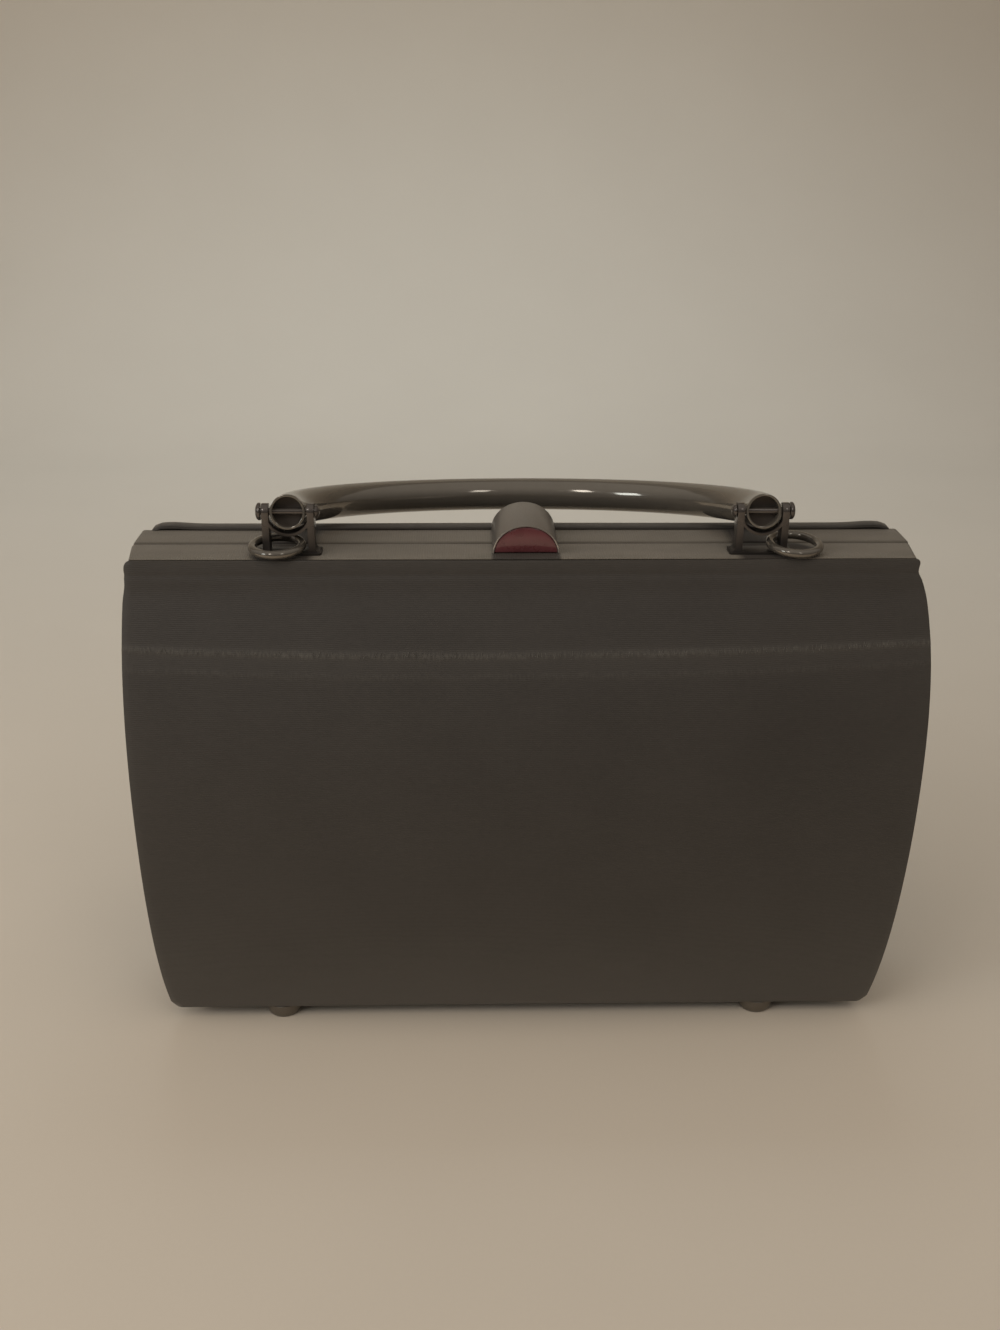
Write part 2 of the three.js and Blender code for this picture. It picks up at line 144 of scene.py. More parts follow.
# The crease that wear has left across the front
CREASE_Z = 115.0
CREASE_RISE = 1.4
CREASE_LOW_X = -18.0
CREASE_RIDGE = 0.12
CREASE_HALF_HEIGHT = 0.8
CREASE_MARGIN = 3
CREASE_RUB_HALF = 0.9
CREASE_HALO_DROP = 1.4
CREASE_HALO_HALF = 3.2

# Thread ends that stand up along the crease, over this share of the frame's width
THREADS_SHARE = 0.985
THREAD_COUNT = 300
THREAD_LENGTH = 1.5
THREAD_RADIUS = 0.05
THREAD_SPREAD = 0.5
THREAD_SEED = 21
SECOND_CREASE_DROP = 4.9
SECOND_CREASE_RIDGE = 0.04

# Frame bars, and the lip of the front one, which is drawn in towards its ends
FRONT_BAR_ENDS = (-101.1, 100.3)
BACK_BAR_ENDS = (-101.3, 100.8)
BAR_SEAM_HALF = 0.32
BAR_SEAM_ROUND = 0.9
BAR_END_ROUND = 0.9
LIP_END_INSET = 1.9
LIP_END_LENGTH = 6.0
LIP_TOP_Z = 137.45
LIP_THICKNESS = 0.3
LIP_ROUND = 0.14
LIP_GAP = 0.05

# Weave of the cloths and of the bars' satin: the pitch of its threads and its depth, and the half
# width of the painted shade along the bars' seam
RIB_PITCH = 0.5
WARP_PITCH = 0.34
WEAVE_DEPTH = 0.03
BAR_RIB_PITCH = 0.62
BAR_PICK_PITCH = 0.3
BAR_WEAVE_DEPTH = 0.045
SEAM_SHADE_HALF = 0.9

# Painted shade on the bar cloth round the brackets, under the clasp and inside the rings: the length
# that its patches are measured by, and how far back the ones at the brackets and inside the rings are
# moved
SHADE_PATCH_SCALE = 16.0
SHADE_PATCH_BACK = 1.0
RING_SHADE_PATCH_BACK = 3.6

# Handle, brackets, pins and rings
handle_pivot = joint_place("handle_fold")
PIVOT_Y = handle_pivot.y - SEAM_Y
PIVOT_Z = handle_pivot.z
PIVOT_X = sum(corner.x for corner in node_box("bracket_right")) / 2
HANDLE_RISE = 48.0
HANDLE_DROOP = math.radians(10.4)
TUBE_RADIUS = 4.4
TUBE_WALL = 0.6
TUBE_PAST_PIVOT = 2.0
PLUG_PAST_PIVOT = 1.5
PLUG_THICKNESS = 1.0
TUBE_GAP = 0.4
LEG_INNER = TUBE_RADIUS + TUBE_GAP
LEG_OUTER = LEG_INNER + 1.7
LEG_DEPTH = 4.2
LEG_FILLET = 1.2
LEG_SINK = 0.4
SADDLE_THICKNESS = 0.7
SADDLE_TOP_RADIUS = math.hypot(TUBE_RADIUS, TUBE_PAST_PIVOT) + TUBE_GAP
SADDLE_UNDER_RADIUS = SADDLE_TOP_RADIUS + SADDLE_THICKNESS
PLATE_HALF_WIDTH = 8.0
PLATE_HALF_DEPTH = 2.8
PLATE_CORNER = 0.8
PLATE_THICKNESS = 0.7
PLATE_BOTTOM_Z = BAR_TOP_Z + CLEARANCE
PLATE_TOP_Z = PLATE_BOTTOM_Z + PLATE_THICKNESS
PIN_RADIUS = 0.9
PIN_HEAD_RADIUS = 2.2
PIN_HEAD_CHAMFER = 0.2
PIN_HEAD_EDGE = 0.5
PIN_HEAD_THICKNESS = 1.4
PIN_NUT_RADIUS = 1.7
PIN_NUT_THICKNESS = 1.1
RING_RADIUS = 6.2
RING_WIRE_RADIUS = 1.1
METAL_BEVEL = 0.2
BRUSH_DEPTH = 0.006
TARNISH_HEIGHT = 11.0

# Each ring's turn in degrees, about the bag's width and then about its depth
RING_TILTS = {"left": (4.0, -0.8), "right": (5.7, 1.8)}

# Clasp
clasp_pivot = joint_place("clasp_lift")
clasp_low, clasp_high = node_box("clasp_lever")
CLASP_HALF_WIDTH = clasp_high.x
CLASP_UNDERSIDE_Z = clasp_low.z
CLASP_HEIGHT = clasp_high.z - clasp_low.z
CLASP_FRONT_Y = clasp_low.y - SEAM_Y
CLASP_BACK_Y = clasp_high.y - SEAM_Y
CLASP_PIVOT_Y = clasp_pivot.y - SEAM_Y
CLASP_PIVOT_Z = clasp_pivot.z
CLASP_WALL = 0.8
CLASP_BACK_WALL = 0.7
CLASP_LIP = 0.34
CLASP_BEVEL = 0.14
CAP_INSET = CLASP_LIP + 0.04
CAP_THICKNESS = 1.2
CAP_DOME = 0.35
CAP_WELD = 0.005
# Half width of the painted highlight along the clasp's front rim
RIM_HIGHLIGHT_HALF = 0.4
HINGE_BEVEL = 0.15
HINGE_HALF_WIDTH = 5.0
HINGE_KNUCKLE_RADIUS = 1.3
HINGE_STEM_BACK = 0.3
HINGE_PIN_RADIUS = 0.7
HINGE_PIN_HALF_LENGTH = 6.95

# Feet
FOOT_FLAT_RADIUS = 4.0
FOOT_DOME_HEIGHT = 3.4
FOOT_CHAMFER = 0.25

# The photograph's camera: its frame in pixels, its focal length in those pixels and its place
PHOTO_WIDTH = 1000
PHOTO_HEIGHT = 1330
FOCAL_PIXELS = 1400
SENSOR_MM = 36.0
CAMERA_PLACE = (-14.66, -347.71, 246.74)
CAMERA_PITCH = math.radians(22.51)
CAMERA_YAW = math.radians(1.40)
CAMERA_ROLL = math.radians(0.30)

# Soft lights that no metal mirrors: place and target in metres, size, power, tone and spread
BAG_MIDDLE = (0.0, 0.0, 0.08)
SOFT_LIGHTS = [
    ("left_soft", (-0.8, -0.42, 0.48), BAG_MIDDLE, 0.8, 3.35, (1.0, 0.925, 0.84), 180),
    ("top_soft", (0.06, -0.47, 0.9), BAG_MIDDLE, 0.7, 2.5, (1.0, 0.865, 0.71), 180),
    ("backdrop_soft", (-0.05, 0.62, 1.1), (-0.05, 0.72, 0.1), 0.6, 1.35, (0.72, 0.88, 1.0), 90),
]

# Small bright windows before the bag: the way to each from the handle, its width, power and tone
GLINT_DISTANCE = 1.3
GLINT_HEIGHT = 0.3
WINDOW_GLINTS = [
    ("window_left", (-0.378, -0.658, 0.604), 0.14, 0.7, (1.0, 0.98, 0.96)),
    ("window_right", (0.301, -0.719, 0.585), 0.14, 0.35, (1.0, 0.98, 0.96)),
    ("window_far_left", (-0.693, -0.556, 0.375), 0.26, 1.2, (0.86, 0.95, 1.0)),
]

# The room's own dim light, and the paper under the bag, in millimetres
ROOM_STRENGTH = 0.34
ROOM_TONE = (1.0, 0.93, 0.85, 1.0)
PAPER_FRONT_Y = -2200.0
PAPER_COVE_Y = 620.0
PAPER_COVE_RADIUS = 320.0
PAPER_TOP_Z = 1900.0
PAPER_HALF_WIDTH = 2400.0


# Node trees


class Wire:
    """A node tree, or one socket in it. Arithmetic on wires adds Math nodes to the tree."""

    def __init__(self, tree, socket=None):
        self.tree = tree
        self.socket = socket

    def node(self, kind, settings=None, sockets=None, output=0):
        """Adds a node with these settings and socket values, and returns one of its outputs."""
        made = self.tree.nodes.new(kind)
        for name, value in (settings or {}).items():
            if name == "stops":
                place_stops(made.color_ramp, value)
            else:
                setattr(made, name, value)
        for key, value in (sockets or {}).items():
            if isinstance(value, Wire):
                self.tree.links.new(value.socket, made.inputs[key])
            else:
                made.inputs[key].default_value = value
        return Wire(self.tree, made.outputs[output])

    def other(self, output):
        """Another output of the node that this wire comes from."""
        return Wire(self.tree, self.socket.node.outputs[output])

    def math(self, operation, first, second=0.0):
        """A Math node on one or two values."""
        return self.node("ShaderNodeMath", {"operation": operation}, {0: first, 1: second})

    def __add__(self, other):
        return self.math("ADD", self, other)

    def __sub__(self, other):
        return self.math("SUBTRACT", self, other)

    def __rsub__(self, other):
        return self.math("SUBTRACT", other, self)

    def __mul__(self, other):
        return self.math("MULTIPLY", self, other)

    def __truediv__(self, other):
        return self.math("DIVIDE", self, other)

    __radd__ = __add__
    __rmul__ = __mul__


def place_stops(ramp, stops):
    """Gives a colour ramp these (place, grey) stops."""
    while len(ramp.elements) < len(stops):
        ramp.elements.new(1.0)
    for element, (place, grey) in zip(ramp.elements, stops):
        element.position = place
        element.color = (grey, grey, grey, 1.0)


# Materials


def blank_material(name, **constants):
    """A material with an empty tree, its shader, and the shader's constant values."""
    material = bpy.data.materials.new(name)
    material.use_nodes = True
    tree = material.node_tree
    tree.nodes.clear()
    shader = tree.nodes.new("ShaderNodeBsdfPrincipled")
    output = tree.nodes.new("ShaderNodeOutputMaterial")
    tree.links.new(shader.outputs[0], output.inputs[0])
    for socket, value in constants.items():
        shader.inputs[socket.replace("_", " ")].default_value = value
    return material, Wire(tree), shader


def feed(shader, **wires):
    """Links what changes over the surface to the shader's sockets."""
    for socket, wire in wires.items():
        wire.tree.links.new(wire.socket, shader.inputs[socket.replace("_", " ")])


def millimetres(coordinates):
    """Coordinates in metres, as millimetres."""
    scaled = {0: coordinates, "Scale": 1 / MM}
    return coordinates.node("ShaderNodeVectorMath", {"operation": "SCALE"}, scaled)


def object_place(tree):
    """The point on the piece, in millimetres."""
    return millimetres(tree.node("ShaderNodeTexCoord", output=3))


def weave_place(tree):
    """The point along the cloth, in millimetres across and up from its lower middle."""
    return millimetres(tree.node("ShaderNodeUVMap", {"uv_map": "weave"}))


def split(vector):
    """The three parts of a vector."""
    first = vector.node("ShaderNodeSeparateXYZ", sockets={0: vector})
    return first, first.other(1), first.other(2)


def stretched(vector, across, up, deep=1.0):
    """A vector whose three parts are multiplied by these numbers."""
    factors = {0: vector, 1: (across, up, deep)}
    return vector.node("ShaderNodeVectorMath", {"operation": "MULTIPLY"}, factors)


def noise(vector, size, detail=2.0):
    """Noise from 0 to 1 whose patches are about size millimetres wide."""
    sockets = {"Vector": vector, "Scale": 1 / size, "Detail": detail, "Roughness": 0.55}
    return vector.node("ShaderNodeTexNoise", sockets=sockets)


def steps_of(value, *stops):
    """The value sent through a grey ramp with these (place, grey) stops."""
    return value.node("ShaderNodeValToRGB", {"stops": stops}, {0: value})


def contrast(value):
    """A noise with its middle range drawn out to 0 and 1."""
    return steps_of(value, (0.3, 0.0), (0.7, 1.0))


def mixed(share, first, second):
    """A colour between two colours."""
    sockets = {0: share, 6: first, 7: second}
    return share.node("ShaderNodeMix", {"data_type": "RGBA"}, sockets, output=2)


def threads(place, pitch):
    """Rounded ridges from 0 to 1, one for each pitch in millimetres."""
    return place.math("SINE", place * (2 * math.pi / pitch)) * 0.5 + 0.5


def band(distance, half_height):
    """1 on a line, falling off to 0 at a few half heights from it."""
    share = distance / half_height
    return share.math("EXPONENT", share * share * -1.0)


def bump(height, depth):
    """A normal bent by a height from 0 to 1 that stands for depth in millimetres."""
    sockets = {"Strength": 1.0, "Distance": depth * MM, "Height": height}
    return height.node("ShaderNodeBump", sockets=sockets)


def faille(name, creased):
    """Fine ribbed black cloth, rubbed along its edges and, on the front, along its creases."""
    material, tree, shader = blank_material(
        name,
        Specular_IOR_Level=0.5,
        Sheen_Weight=0.25,
        Sheen_Roughness=0.45,
        Sheen_Tint=(0.9, 0.82, 0.72, 1.0),
    )
    cloth = weave_place(tree)
    across, up, _ = split(cloth)
    sway = noise(cloth, 9.0) * 0.5 + noise(cloth, 2.2) * 0.4
    ribs = threads(up + sway, RIB_PITCH)
    warp = threads(across + sway, WARP_PITCH)
    height = ribs * 0.65 + warp * ribs * 0.35
    patches = noise(cloth, 26.0, 3.0) * 0.6 + noise(cloth, 1.6) * 0.4
    colour = mixed(contrast(patches), (0.032, 0.028, 0.0243, 1), (0.042, 0.037, 0.0325, 1))
    slubs = noise(stretched(cloth, 0.25, 1.6), 0.8)
    rubbed = tree.node("ShaderNodeAttribute", {"attribute_name": "edge"}, output=2) * (slubs * 0.3)
    if creased:
        x, _, z = split(object_place(tree))
        from_low = (x - CREASE_LOW_X) * (1 / FRAME_HALF_WIDTH)
        above = z - (from_low * from_low * CREASE_RISE + CREASE_Z)
        flecks = steps_of(noise(stretched(cloth, 2.6, 0.7), 1.4), (0.4, 0.0), (0.62, 1.0))
        worn = steps_of(noise(stretched(cloth, 1.0, 0.0), 24.0), (0.35, 0.45), (0.65, 1.0))
        line = band(above, CREASE_RUB_HALF) * (flecks * 0.6 + 0.12) * worn
        halo = band(above + CREASE_HALO_DROP, CREASE_HALO_HALF) * 0.1
        second = band(above + SECOND_CREASE_DROP, CREASE_RUB_HALF) * flecks * 0.2
        rubbed = rubbed + line + halo + second
    rubbed = rubbed.math("MINIMUM", rubbed, 1.0)
    feed(
        shader,
        Base_Color=mixed(rubbed, colour, (0.092, 0.085, 0.074, 1)),
        Roughness=0.5 + ribs * 0.1 + rubbed * 0.12,
        Normal=bump(height, WEAVE_DEPTH),
    )
    return material


def bar_painted_shade(x, y):
    """Painted shade on the bar cloth, from 0 to 1: round each bracket, under the clasp and inside
    each ring.
    """
    aside = x.math("ABSOLUTE", x)
    back = y - SEAM_Y
    beside = (aside - PIVOT_X) / SHADE_PATCH_SCALE
    behind = (back - SHADE_PATCH_BACK) / SHADE_PATCH_SCALE
    by_bracket = steps_of(beside.math("ABSOLUTE", beside - 0.1), (0.38, 1.0), (0.52, 0.0))
    by_bracket = by_bracket * steps_of(behind, (0.56, 1.0), (0.68, 0.0))
    past_clasp = (aside - CLASP_HALF_WIDTH) / SHADE_PATCH_SCALE + 0.5
    behind_clasp = (back - CLASP_FRONT_Y) / SHADE_PATCH_SCALE + 0.5
    by_clasp = steps_of(past_clasp, (0.49, 1.0), (0.54, 0.0))
    by_clasp = by_clasp * steps_of(behind_clasp, (0.55, 1.0), (0.6, 0.0))
    shade_amount = by_clasp.math("MAXIMUM", by_bracket * 0.9, by_clasp * 0.85)
    for side in RING_TILTS:
        low, high = node_box(f"ring_{side}")
        across = (x - (low.x + high.x) / 2) / RING_RADIUS
        along = (y - (low.y + high.y) / 2 - RING_SHADE_PATCH_BACK) / RING_RADIUS
        from_middle = across.math("SQRT", across * across + along * along)
        in_ring = steps_of(from_middle, (0.72, 0.85), (0.95, 0.0))
        shade_amount = shade_amount.math("MAXIMUM", shade_amount, in_ring)
    return shade_amount


def bar_satin(name):
    """Satin face over the frame bars, with its ribs across the bar. Its tone is lifted well above the
    black cloth's as painted light for the top light and sheen that the bars catch, with painted shade
    along the seam and round the fittings.
    """
    material, tree, shader = blank_material(
        name,
        Specular_IOR_Level=0.25,
        Sheen_Weight=0.08,
        Sheen_Roughness=0.4,
        Sheen_Tint=(0.92, 0.86, 0.78, 1.0),
    )
    place = object_place(tree)
    x, y, _ = split(place)
    sway = noise(place, 7.0) * 0.6
    ribs = threads(x + sway, BAR_RIB_PITCH)
    picks = threads(y, BAR_PICK_PITCH)
    patches = noise(stretched(place, 0.3, 1.0), 6.0, 3.0)
    # Tone lifted above the black cloth's: painted light for the top light and sheen on the bars
    colour = mixed(contrast(patches), (0.137, 0.122, 0.101, 1), (0.168, 0.149, 0.124, 1))
    # Painted shade round the brackets, under the clasp and inside the rings
    colour = mixed(bar_painted_shade(x, y), colour, (0.03, 0.026, 0.024, 1))
    # Painted shade along the seam between the two bars
    painted_seam_shade = band(y - SEAM_Y, SEAM_SHADE_HALF) * steps_of(patches, (0.35, 0.55), (0.65, 0.95))
    colour = mixed(painted_seam_shade, colour, (0.03, 0.025, 0.019, 1))
    feed(
        shader,
        Base_Color=colour,
        Roughness=0.5 + patches * 0.14 + ribs * 0.08,
        Normal=bump(ribs * 0.7 + picks * 0.3, BAR_WEAVE_DEPTH),
    )
    return material


def loose_thread(name):
    """The pale rubbed ends of threads that stand up along the crease."""
    material, tree, shader = blank_material(name, Sheen_Weight=0.3, Sheen_Roughness=0.5)
    place = object_place(tree)
    shade = steps_of(noise(place, 2.5), (0.35, 0.0), (0.65, 1.0))
    feed(
        shader,
        Base_Color=mixed(shade, (0.06, 0.055, 0.048, 1), (0.12, 0.11, 0.097, 1)),
        Roughness=0.7 + shade * 0.15,
    )
    return material


def gunmetal(name, dark, light, roughness, brushed=0.0, tarnish=0.0, metallic=0.74, painted_rim_highlight=False):
    """Dark plated metal with faint rub marks and, where brushed, fine lines from front to back.
    Where tarnished, it dulls towards the frame. On the clasp, a painted highlight runs along the
    front rim, strongest low down at its ends, where the metal is smoother too."""
    material, tree, shader = blank_material(name, Metallic=metallic)
    place = object_place(tree)
    clouds = noise(place, 5.0, 4.0)
    scuffs = steps_of(noise(stretched(place, 0.5, 1.0, 3.0), 0.9, 4.0), (0.56, 0.0), (0.75, 1.0))
    lines = noise(stretched(place, 14.0, 0.35, 14.0), 1.0, 3.0)
    _, y, z = split(place)
    colour = mixed(clouds * 0.8 + scuffs * 0.2, dark, light)
    finish = roughness + clouds * 0.06 + scuffs * 0.08 + lines * (0.16 * brushed)
    if tarnish:
        dulled = steps_of((z - PLATE_TOP_Z) / TARNISH_HEIGHT, (0.1, tarnish), (1.0, 0.0))
        colour = mixed(dulled, colour, (0.035, 0.031, 0.029, 1))
        finish = finish + dulled * 0.3
    # Painted highlight along the clasp's front rim, where the metal is also smoother
    if painted_rim_highlight:
        low_down = steps_of((z - CLASP_UNDERSIDE_Z) / CLASP_HEIGHT, (0.15, 1.0), (0.75, 0.1))
        bright = band(y - clasp_low.y, RIM_HIGHLIGHT_HALF) * low_down
        colour = mixed(bright, colour, (0.6, 0.55, 0.51, 1))
        finish = finish * (1 - bright * 0.75)
    feed(
        shader,
        Base_Color=colour,
        Roughness=finish,
        Normal=bump(lines * brushed + clouds * 0.3, BRUSH_DEPTH),
    )
    return material


def garnet_enamel(name):
    """Deep red enamel under a clear coat, darker where it is thick."""
    material, tree, shader = blank_material(
        name, Coat_Weight=0.8, Coat_Roughness=0.06, Specular_IOR_Level=0.5
    )
    place = object_place(tree)
    depth = noise(place, 3.5, 3.0)
    feed(
        shader,
        Base_Color=mixed(contrast(depth), (0.1, 0.026, 0.029, 1), (0.135, 0.037, 0.042, 1)),
        Roughness=0.22 + depth * 0.12,
    )
    return material


def studio_paper(name):
    """The pale seamless paper that the bag stands on."""
    material, tree, shader = blank_material(name, Specular_IOR_Level=0.15)
    place = object_place(tree)
    grain = noise(place, 1.2, 3.0) * 0.35 + noise(place, 90.0, 2.0) * 0.65
    feed(
        shader,
        Base_Color=mixed(grain, (0.6, 0.535, 0.45, 1), (0.65, 0.58, 0.49, 1)),
        Roughness=0.75 + grain * 0.15,
    )
    return material


# Meshes


def to_frame(points):
    """Millimetres from the middle seam to metres in the frame."""
    return (np.asarray(points, float) + (0.0, SEAM_Y, 0.0)) * MM


def new_object(name, data):
    """An object in the scene with this mesh, light or camera."""
    made = bpy.data.objects.new(name, data)
    bpy.context.scene.collection.objects.link(made)
    return made


def mesh_object(name, points, faces):
    """A mesh object at the origin, from points in millimetres."""
    mesh = bpy.data.meshes.new(name)
    mesh.from_pydata(to_frame(points).tolist(), [], [list(face) for face in faces])
    mesh.validate()
    return new_object(name, mesh)


def baked(piece):
    """The piece with its modifiers made part of its mesh."""
    depsgraph = bpy.context.evaluated_depsgraph_get()
    mesh = bpy.data.meshes.new_from_object(piece.evaluated_get(depsgraph), depsgraph=depsgraph)
    piece.modifiers.clear()
    old = piece.data
    piece.data = mesh
    bpy.data.meshes.remove(old)
    mesh.name = piece.name
    return piece


def modified(piece, kind, **settings):
    """The piece with one modifier made part of its mesh."""
    modifier = piece.modifiers.new(kind.lower(), kind)
    for name, value in settings.items():
        setattr(modifier, name, value)
    return baked(piece)


def carved(piece, cutter, operation):
    """The piece joined with, cut by or cropped to another, which is used up."""
    modified(piece, "BOOLEAN", object=cutter, operation=operation, solver="EXACT")
    bpy.data.objects.remove(cutter)
    return piece


def softened(piece, width, segments=3):
    """The piece with its sharp edges rounded."""
    return modified(
        piece,
        "BEVEL",
        width=width * MM,
        segments=segments,
        limit_method="ANGLE",
        angle_limit=math.radians(40),
        use_clamp_overlap=True,
    )


def finished(piece, material, body, slot, *nodes, sharp_angle=40):
    """Shades the piece, gives it its material and ties it to the frame."""
    mesh = piece.data
    mesh.shade_smooth()
    mesh.set_sharp_from_angle(angle=math.radians(sharp_angle))
    mesh.materials.clear()
    mesh.materials.append(material)
    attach(piece, body)
    if nodes:
        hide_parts(*nodes)
    return piece


def turned(points):
    """Points turned half round the upright axis."""
    return np.asarray(points, float) * (-1.0, -1.0, 1.0)


def arc(centre, radii, start, end, steps):
    """Points on the arc of a circle, or of an ellipse with two radii, between angles in degrees."""
    across, up = np.broadcast_to(radii, 2)
    angles = np.radians(np.linspace(start, end, steps + 1))
    return [(centre[0] + across * math.cos(a), centre[1] + up * math.sin(a)) for a in angles]


def along_axis(outline, axis, place):
    """Outline points in 3-D: (y, z) along X, (x, z) along Y or (x, y) along Z."""
    return [tuple(np.insert(np.asarray(point, float), axis, place)) for point in outline]


def ring_faces(first, count):
    """Faces between a ring of points, which starts at this index, and the ring after it."""
    pairs = [(first + i, first + (i + 1) % count) for i in range(count)]
    return [(here, after, after + count, here + count) for here, after in pairs]


def prism(name, outline, axis, start, end):
    """An outline made solid between two places along an axis, 0 for X, 1 for Y and 2 for Z."""
    count = len(outline)
    points = along_axis(outline, axis, start) + along_axis(outline, axis, end)
    area = sum(
        outline[i - 1][0] * outline[i][1] - outline[i][0] * outline[i - 1][1] for i in range(count)
    )
    forwards = (area > 0) != (axis == 1)
    faces = [tuple(range(count))[::-1], tuple(range(count, 2 * count)), *ring_faces(0, count)]
    if not forwards:
        faces = [face[::-1] for face in faces]
    return mesh_object(name, points, faces)


def lathe(profile, steps):
    """A profile of (radius, height) from axis to axis, turned round X and centred on it."""
    rings = profile[1:-1]
    points = [(profile[0][1], 0.0, 0.0)]
    for radius, height in rings:
        for angle in np.arange(steps) * (2 * math.pi / steps):
            points.append((height, radius * math.cos(angle), radius * math.sin(angle)))
    points.append((profile[-1][1], 0.0, 0.0))
    top = 1 + (len(rings) - 1) * steps
    faces = [(0, 1 + (i + 1) % steps, 1 + i) for i in range(steps)]
    for first in range(1, top, steps):
        faces += ring_faces(first, steps)
    faces += [(top + i, top + (i + 1) % steps, top + steps) for i in range(steps)]
    return points, faces


def rolled_stops(length, wall, step, *crowded):
    """Distances from edge to edge of a cloth, close together at its rolled edges and where a
    crowded stretch, given as (start, end, step), asks for it."""
    reach = min(EDGE_ROLL, wall / 2)
    roll = reach * (1 - np.cos(np.linspace(0, math.pi / 2, 6)))
    runs = [roll, np.linspace(reach, length - reach, round(length / step) + 1), length - roll]
    for start, end, close_step in crowded:
        runs.append(np.arange(start, end, close_step))
    return np.unique(np.round(np.concatenate(runs), 4))


def run_lengths(points, axis):
    """How far each grid point lies along its row or column, and how near it is to an end."""
    lengths = np.linalg.norm(np.diff(points, axis=axis), axis=-1)
    along = np.insert(np.cumsum(lengths, axis=axis), 0, 0.0, axis=axis)
    total = np.take(along, [-1], axis=axis)
    return along, np.minimum(along, total - along), total


def closed_cloth(name, points, wall, facing=None):
    """A cloth wall whose outside follows a grid of points, rolled over along all four edges.
    Seen from outside, columns run to the right and rows run up. The wall is one thickness, or one
    for each point. Returns the piece, the longest run across and up, and the area, in metres."""
    rows, columns = points.shape[:2]
    normals = np.cross(np.gradient(points, axis=1), np.gradient(points, axis=0))
    if facing is not None:
        normals[:] = facing
    normals /= np.maximum(np.linalg.norm(normals, axis=-1, keepdims=True), 1e-9)
    across, from_side, total_across = run_lengths(points, 1)
    up, from_end, total_up = run_lengths(points, 0)
    half = np.broadcast_to(np.asarray(wall, float) / 2, (rows, columns))
    reach = np.minimum(EDGE_ROLL, half)
    rolls = [np.sqrt(1 - (1 - np.clip(d / reach, 0, 1)) ** 2) for d in (from_side, from_end)]
    half_here = half * rolls[0] * rolls[1]
    outside = points - normals * (half - half_here)[..., None]
    inside = points - normals * (half + half_here)[..., None]
    outer_index = np.arange(rows * columns).reshape(rows, columns)
    inner_index = outer_index.copy()
    inner_count = (rows - 2) * (columns - 2)
    inner_index[1:-1, 1:-1] = rows * columns + np.arange(inner_count).reshape(rows - 2, columns - 2)
    vertices = np.concatenate([outside.reshape(-1, 3), inside[1:-1, 1:-1].reshape(-1, 3)])
    faces = []
    for index, order in ((outer_index, (0, 1, 2, 3)), (inner_index, (3, 2, 1, 0))):
        corners = [index[:-1, :-1], index[:-1, 1:], index[1:, 1:], index[1:, :-1]]
        faces.append(np.stack([corners[i].ravel() for i in order], axis=1))
    piece = mesh_object(name, vertices, np.concatenate(faces))

    def per_vertex(grid):
        return np.concatenate([grid.ravel(), grid[1:-1, 1:-1].ravel()])

    weave = np.stack([per_vertex(across - total_across / 2), per_vertex(up)], axis=1) * MM
    loop_vertex = np.zeros(len(piece.data.loops), np.int32)
    piece.data.loops.foreach_get("vertex_index", loop_vertex)
    layer = piece.data.uv_layers.new(name="weave")
    layer.uv.foreach_set("vector", weave[loop_vertex].astype(np.float32).ravel())
    edge = piece.data.attributes.new("edge", "FLOAT", "POINT")
    nearness = np.exp(-np.minimum(from_side, from_end) / (2 * half))
    edge.data.foreach_set("value", per_vertex(nearness).astype(np.float32))
    patches = np.cross(points[1:, 1:] - points[:-1, :-1], points[1:, :-1] - points[:-1, 1:])
    area = float(np.linalg.norm(patches, axis=-1).sum() / 2) * MM * MM
    return piece, (float(total_across.max()) * MM, float(total_up.max()) * MM), area


# Geometry node trees, whose inputs are of these kinds

SHAPE = "NodeSocketGeometry"
NUMBER = "NodeSocketFloat"
WHOLE = "NodeSocketInt"
FINISH = "NodeSocketMaterial"


def grower(name, **inputs):
    """A geometry tree with these named inputs, and a wire from each of them."""
    tree = bpy.data.node_groups.new(name, "GeometryNodeTree")
    tree.interface.new_socket("Geometry", in_out="OUTPUT", socket_type=SHAPE)
    start = tree.nodes.new("NodeGroupInput")
    wires = {}
    for label, kind in inputs.items():
        named = label.replace("_", " ")
        tree.interface.new_socket(named, in_out="INPUT", socket_type=kind)
        wires[label] = Wire(tree, start.outputs[named])
    return Wire(tree), wires


def end_tree(geometry, material):
    """Closes a geometry tree, realized, smooth and with its material, and returns it."""
    realized = geometry.node("GeometryNodeRealizeInstances", sockets={0: geometry})
    smooth = geometry.node("GeometryNodeSetShadeSmooth", sockets={0: realized})
    dressed = geometry.node("GeometryNodeSetMaterial", sockets={0: smooth, "Material": material})
    output = geometry.tree.nodes.new("NodeGroupOutput")
    geometry.tree.links.new(dressed.socket, output.inputs[0])
    return geometry.tree


def round_skin(path, sides, radius):
    """A round section with so many sides, run along a path."""
    section = {"Resolution": sides, "Radius": radius}
    circle = path.node("GeometryNodeCurvePrimitiveCircle", sockets=section)
    return path.node("GeometryNodeCurveToMesh", sockets={"Curve": path, "Profile Curve": circle})


def grown(name, tree, source=None, **values):
    """The mesh object that a geometry tree makes with these input values."""
    carrier = new_object(name, source or bpy.data.meshes.new(name))
    modifier = carrier.modifiers.new("grow", "NODES")
    modifier.node_group = tree
    for item in tree.interface.items_tree:
        label = item.name.replace(" ", "_")
        if item.in_out == "INPUT" and label in values:
            modifier[item.identifier] = values[label]
    return baked(carrier)


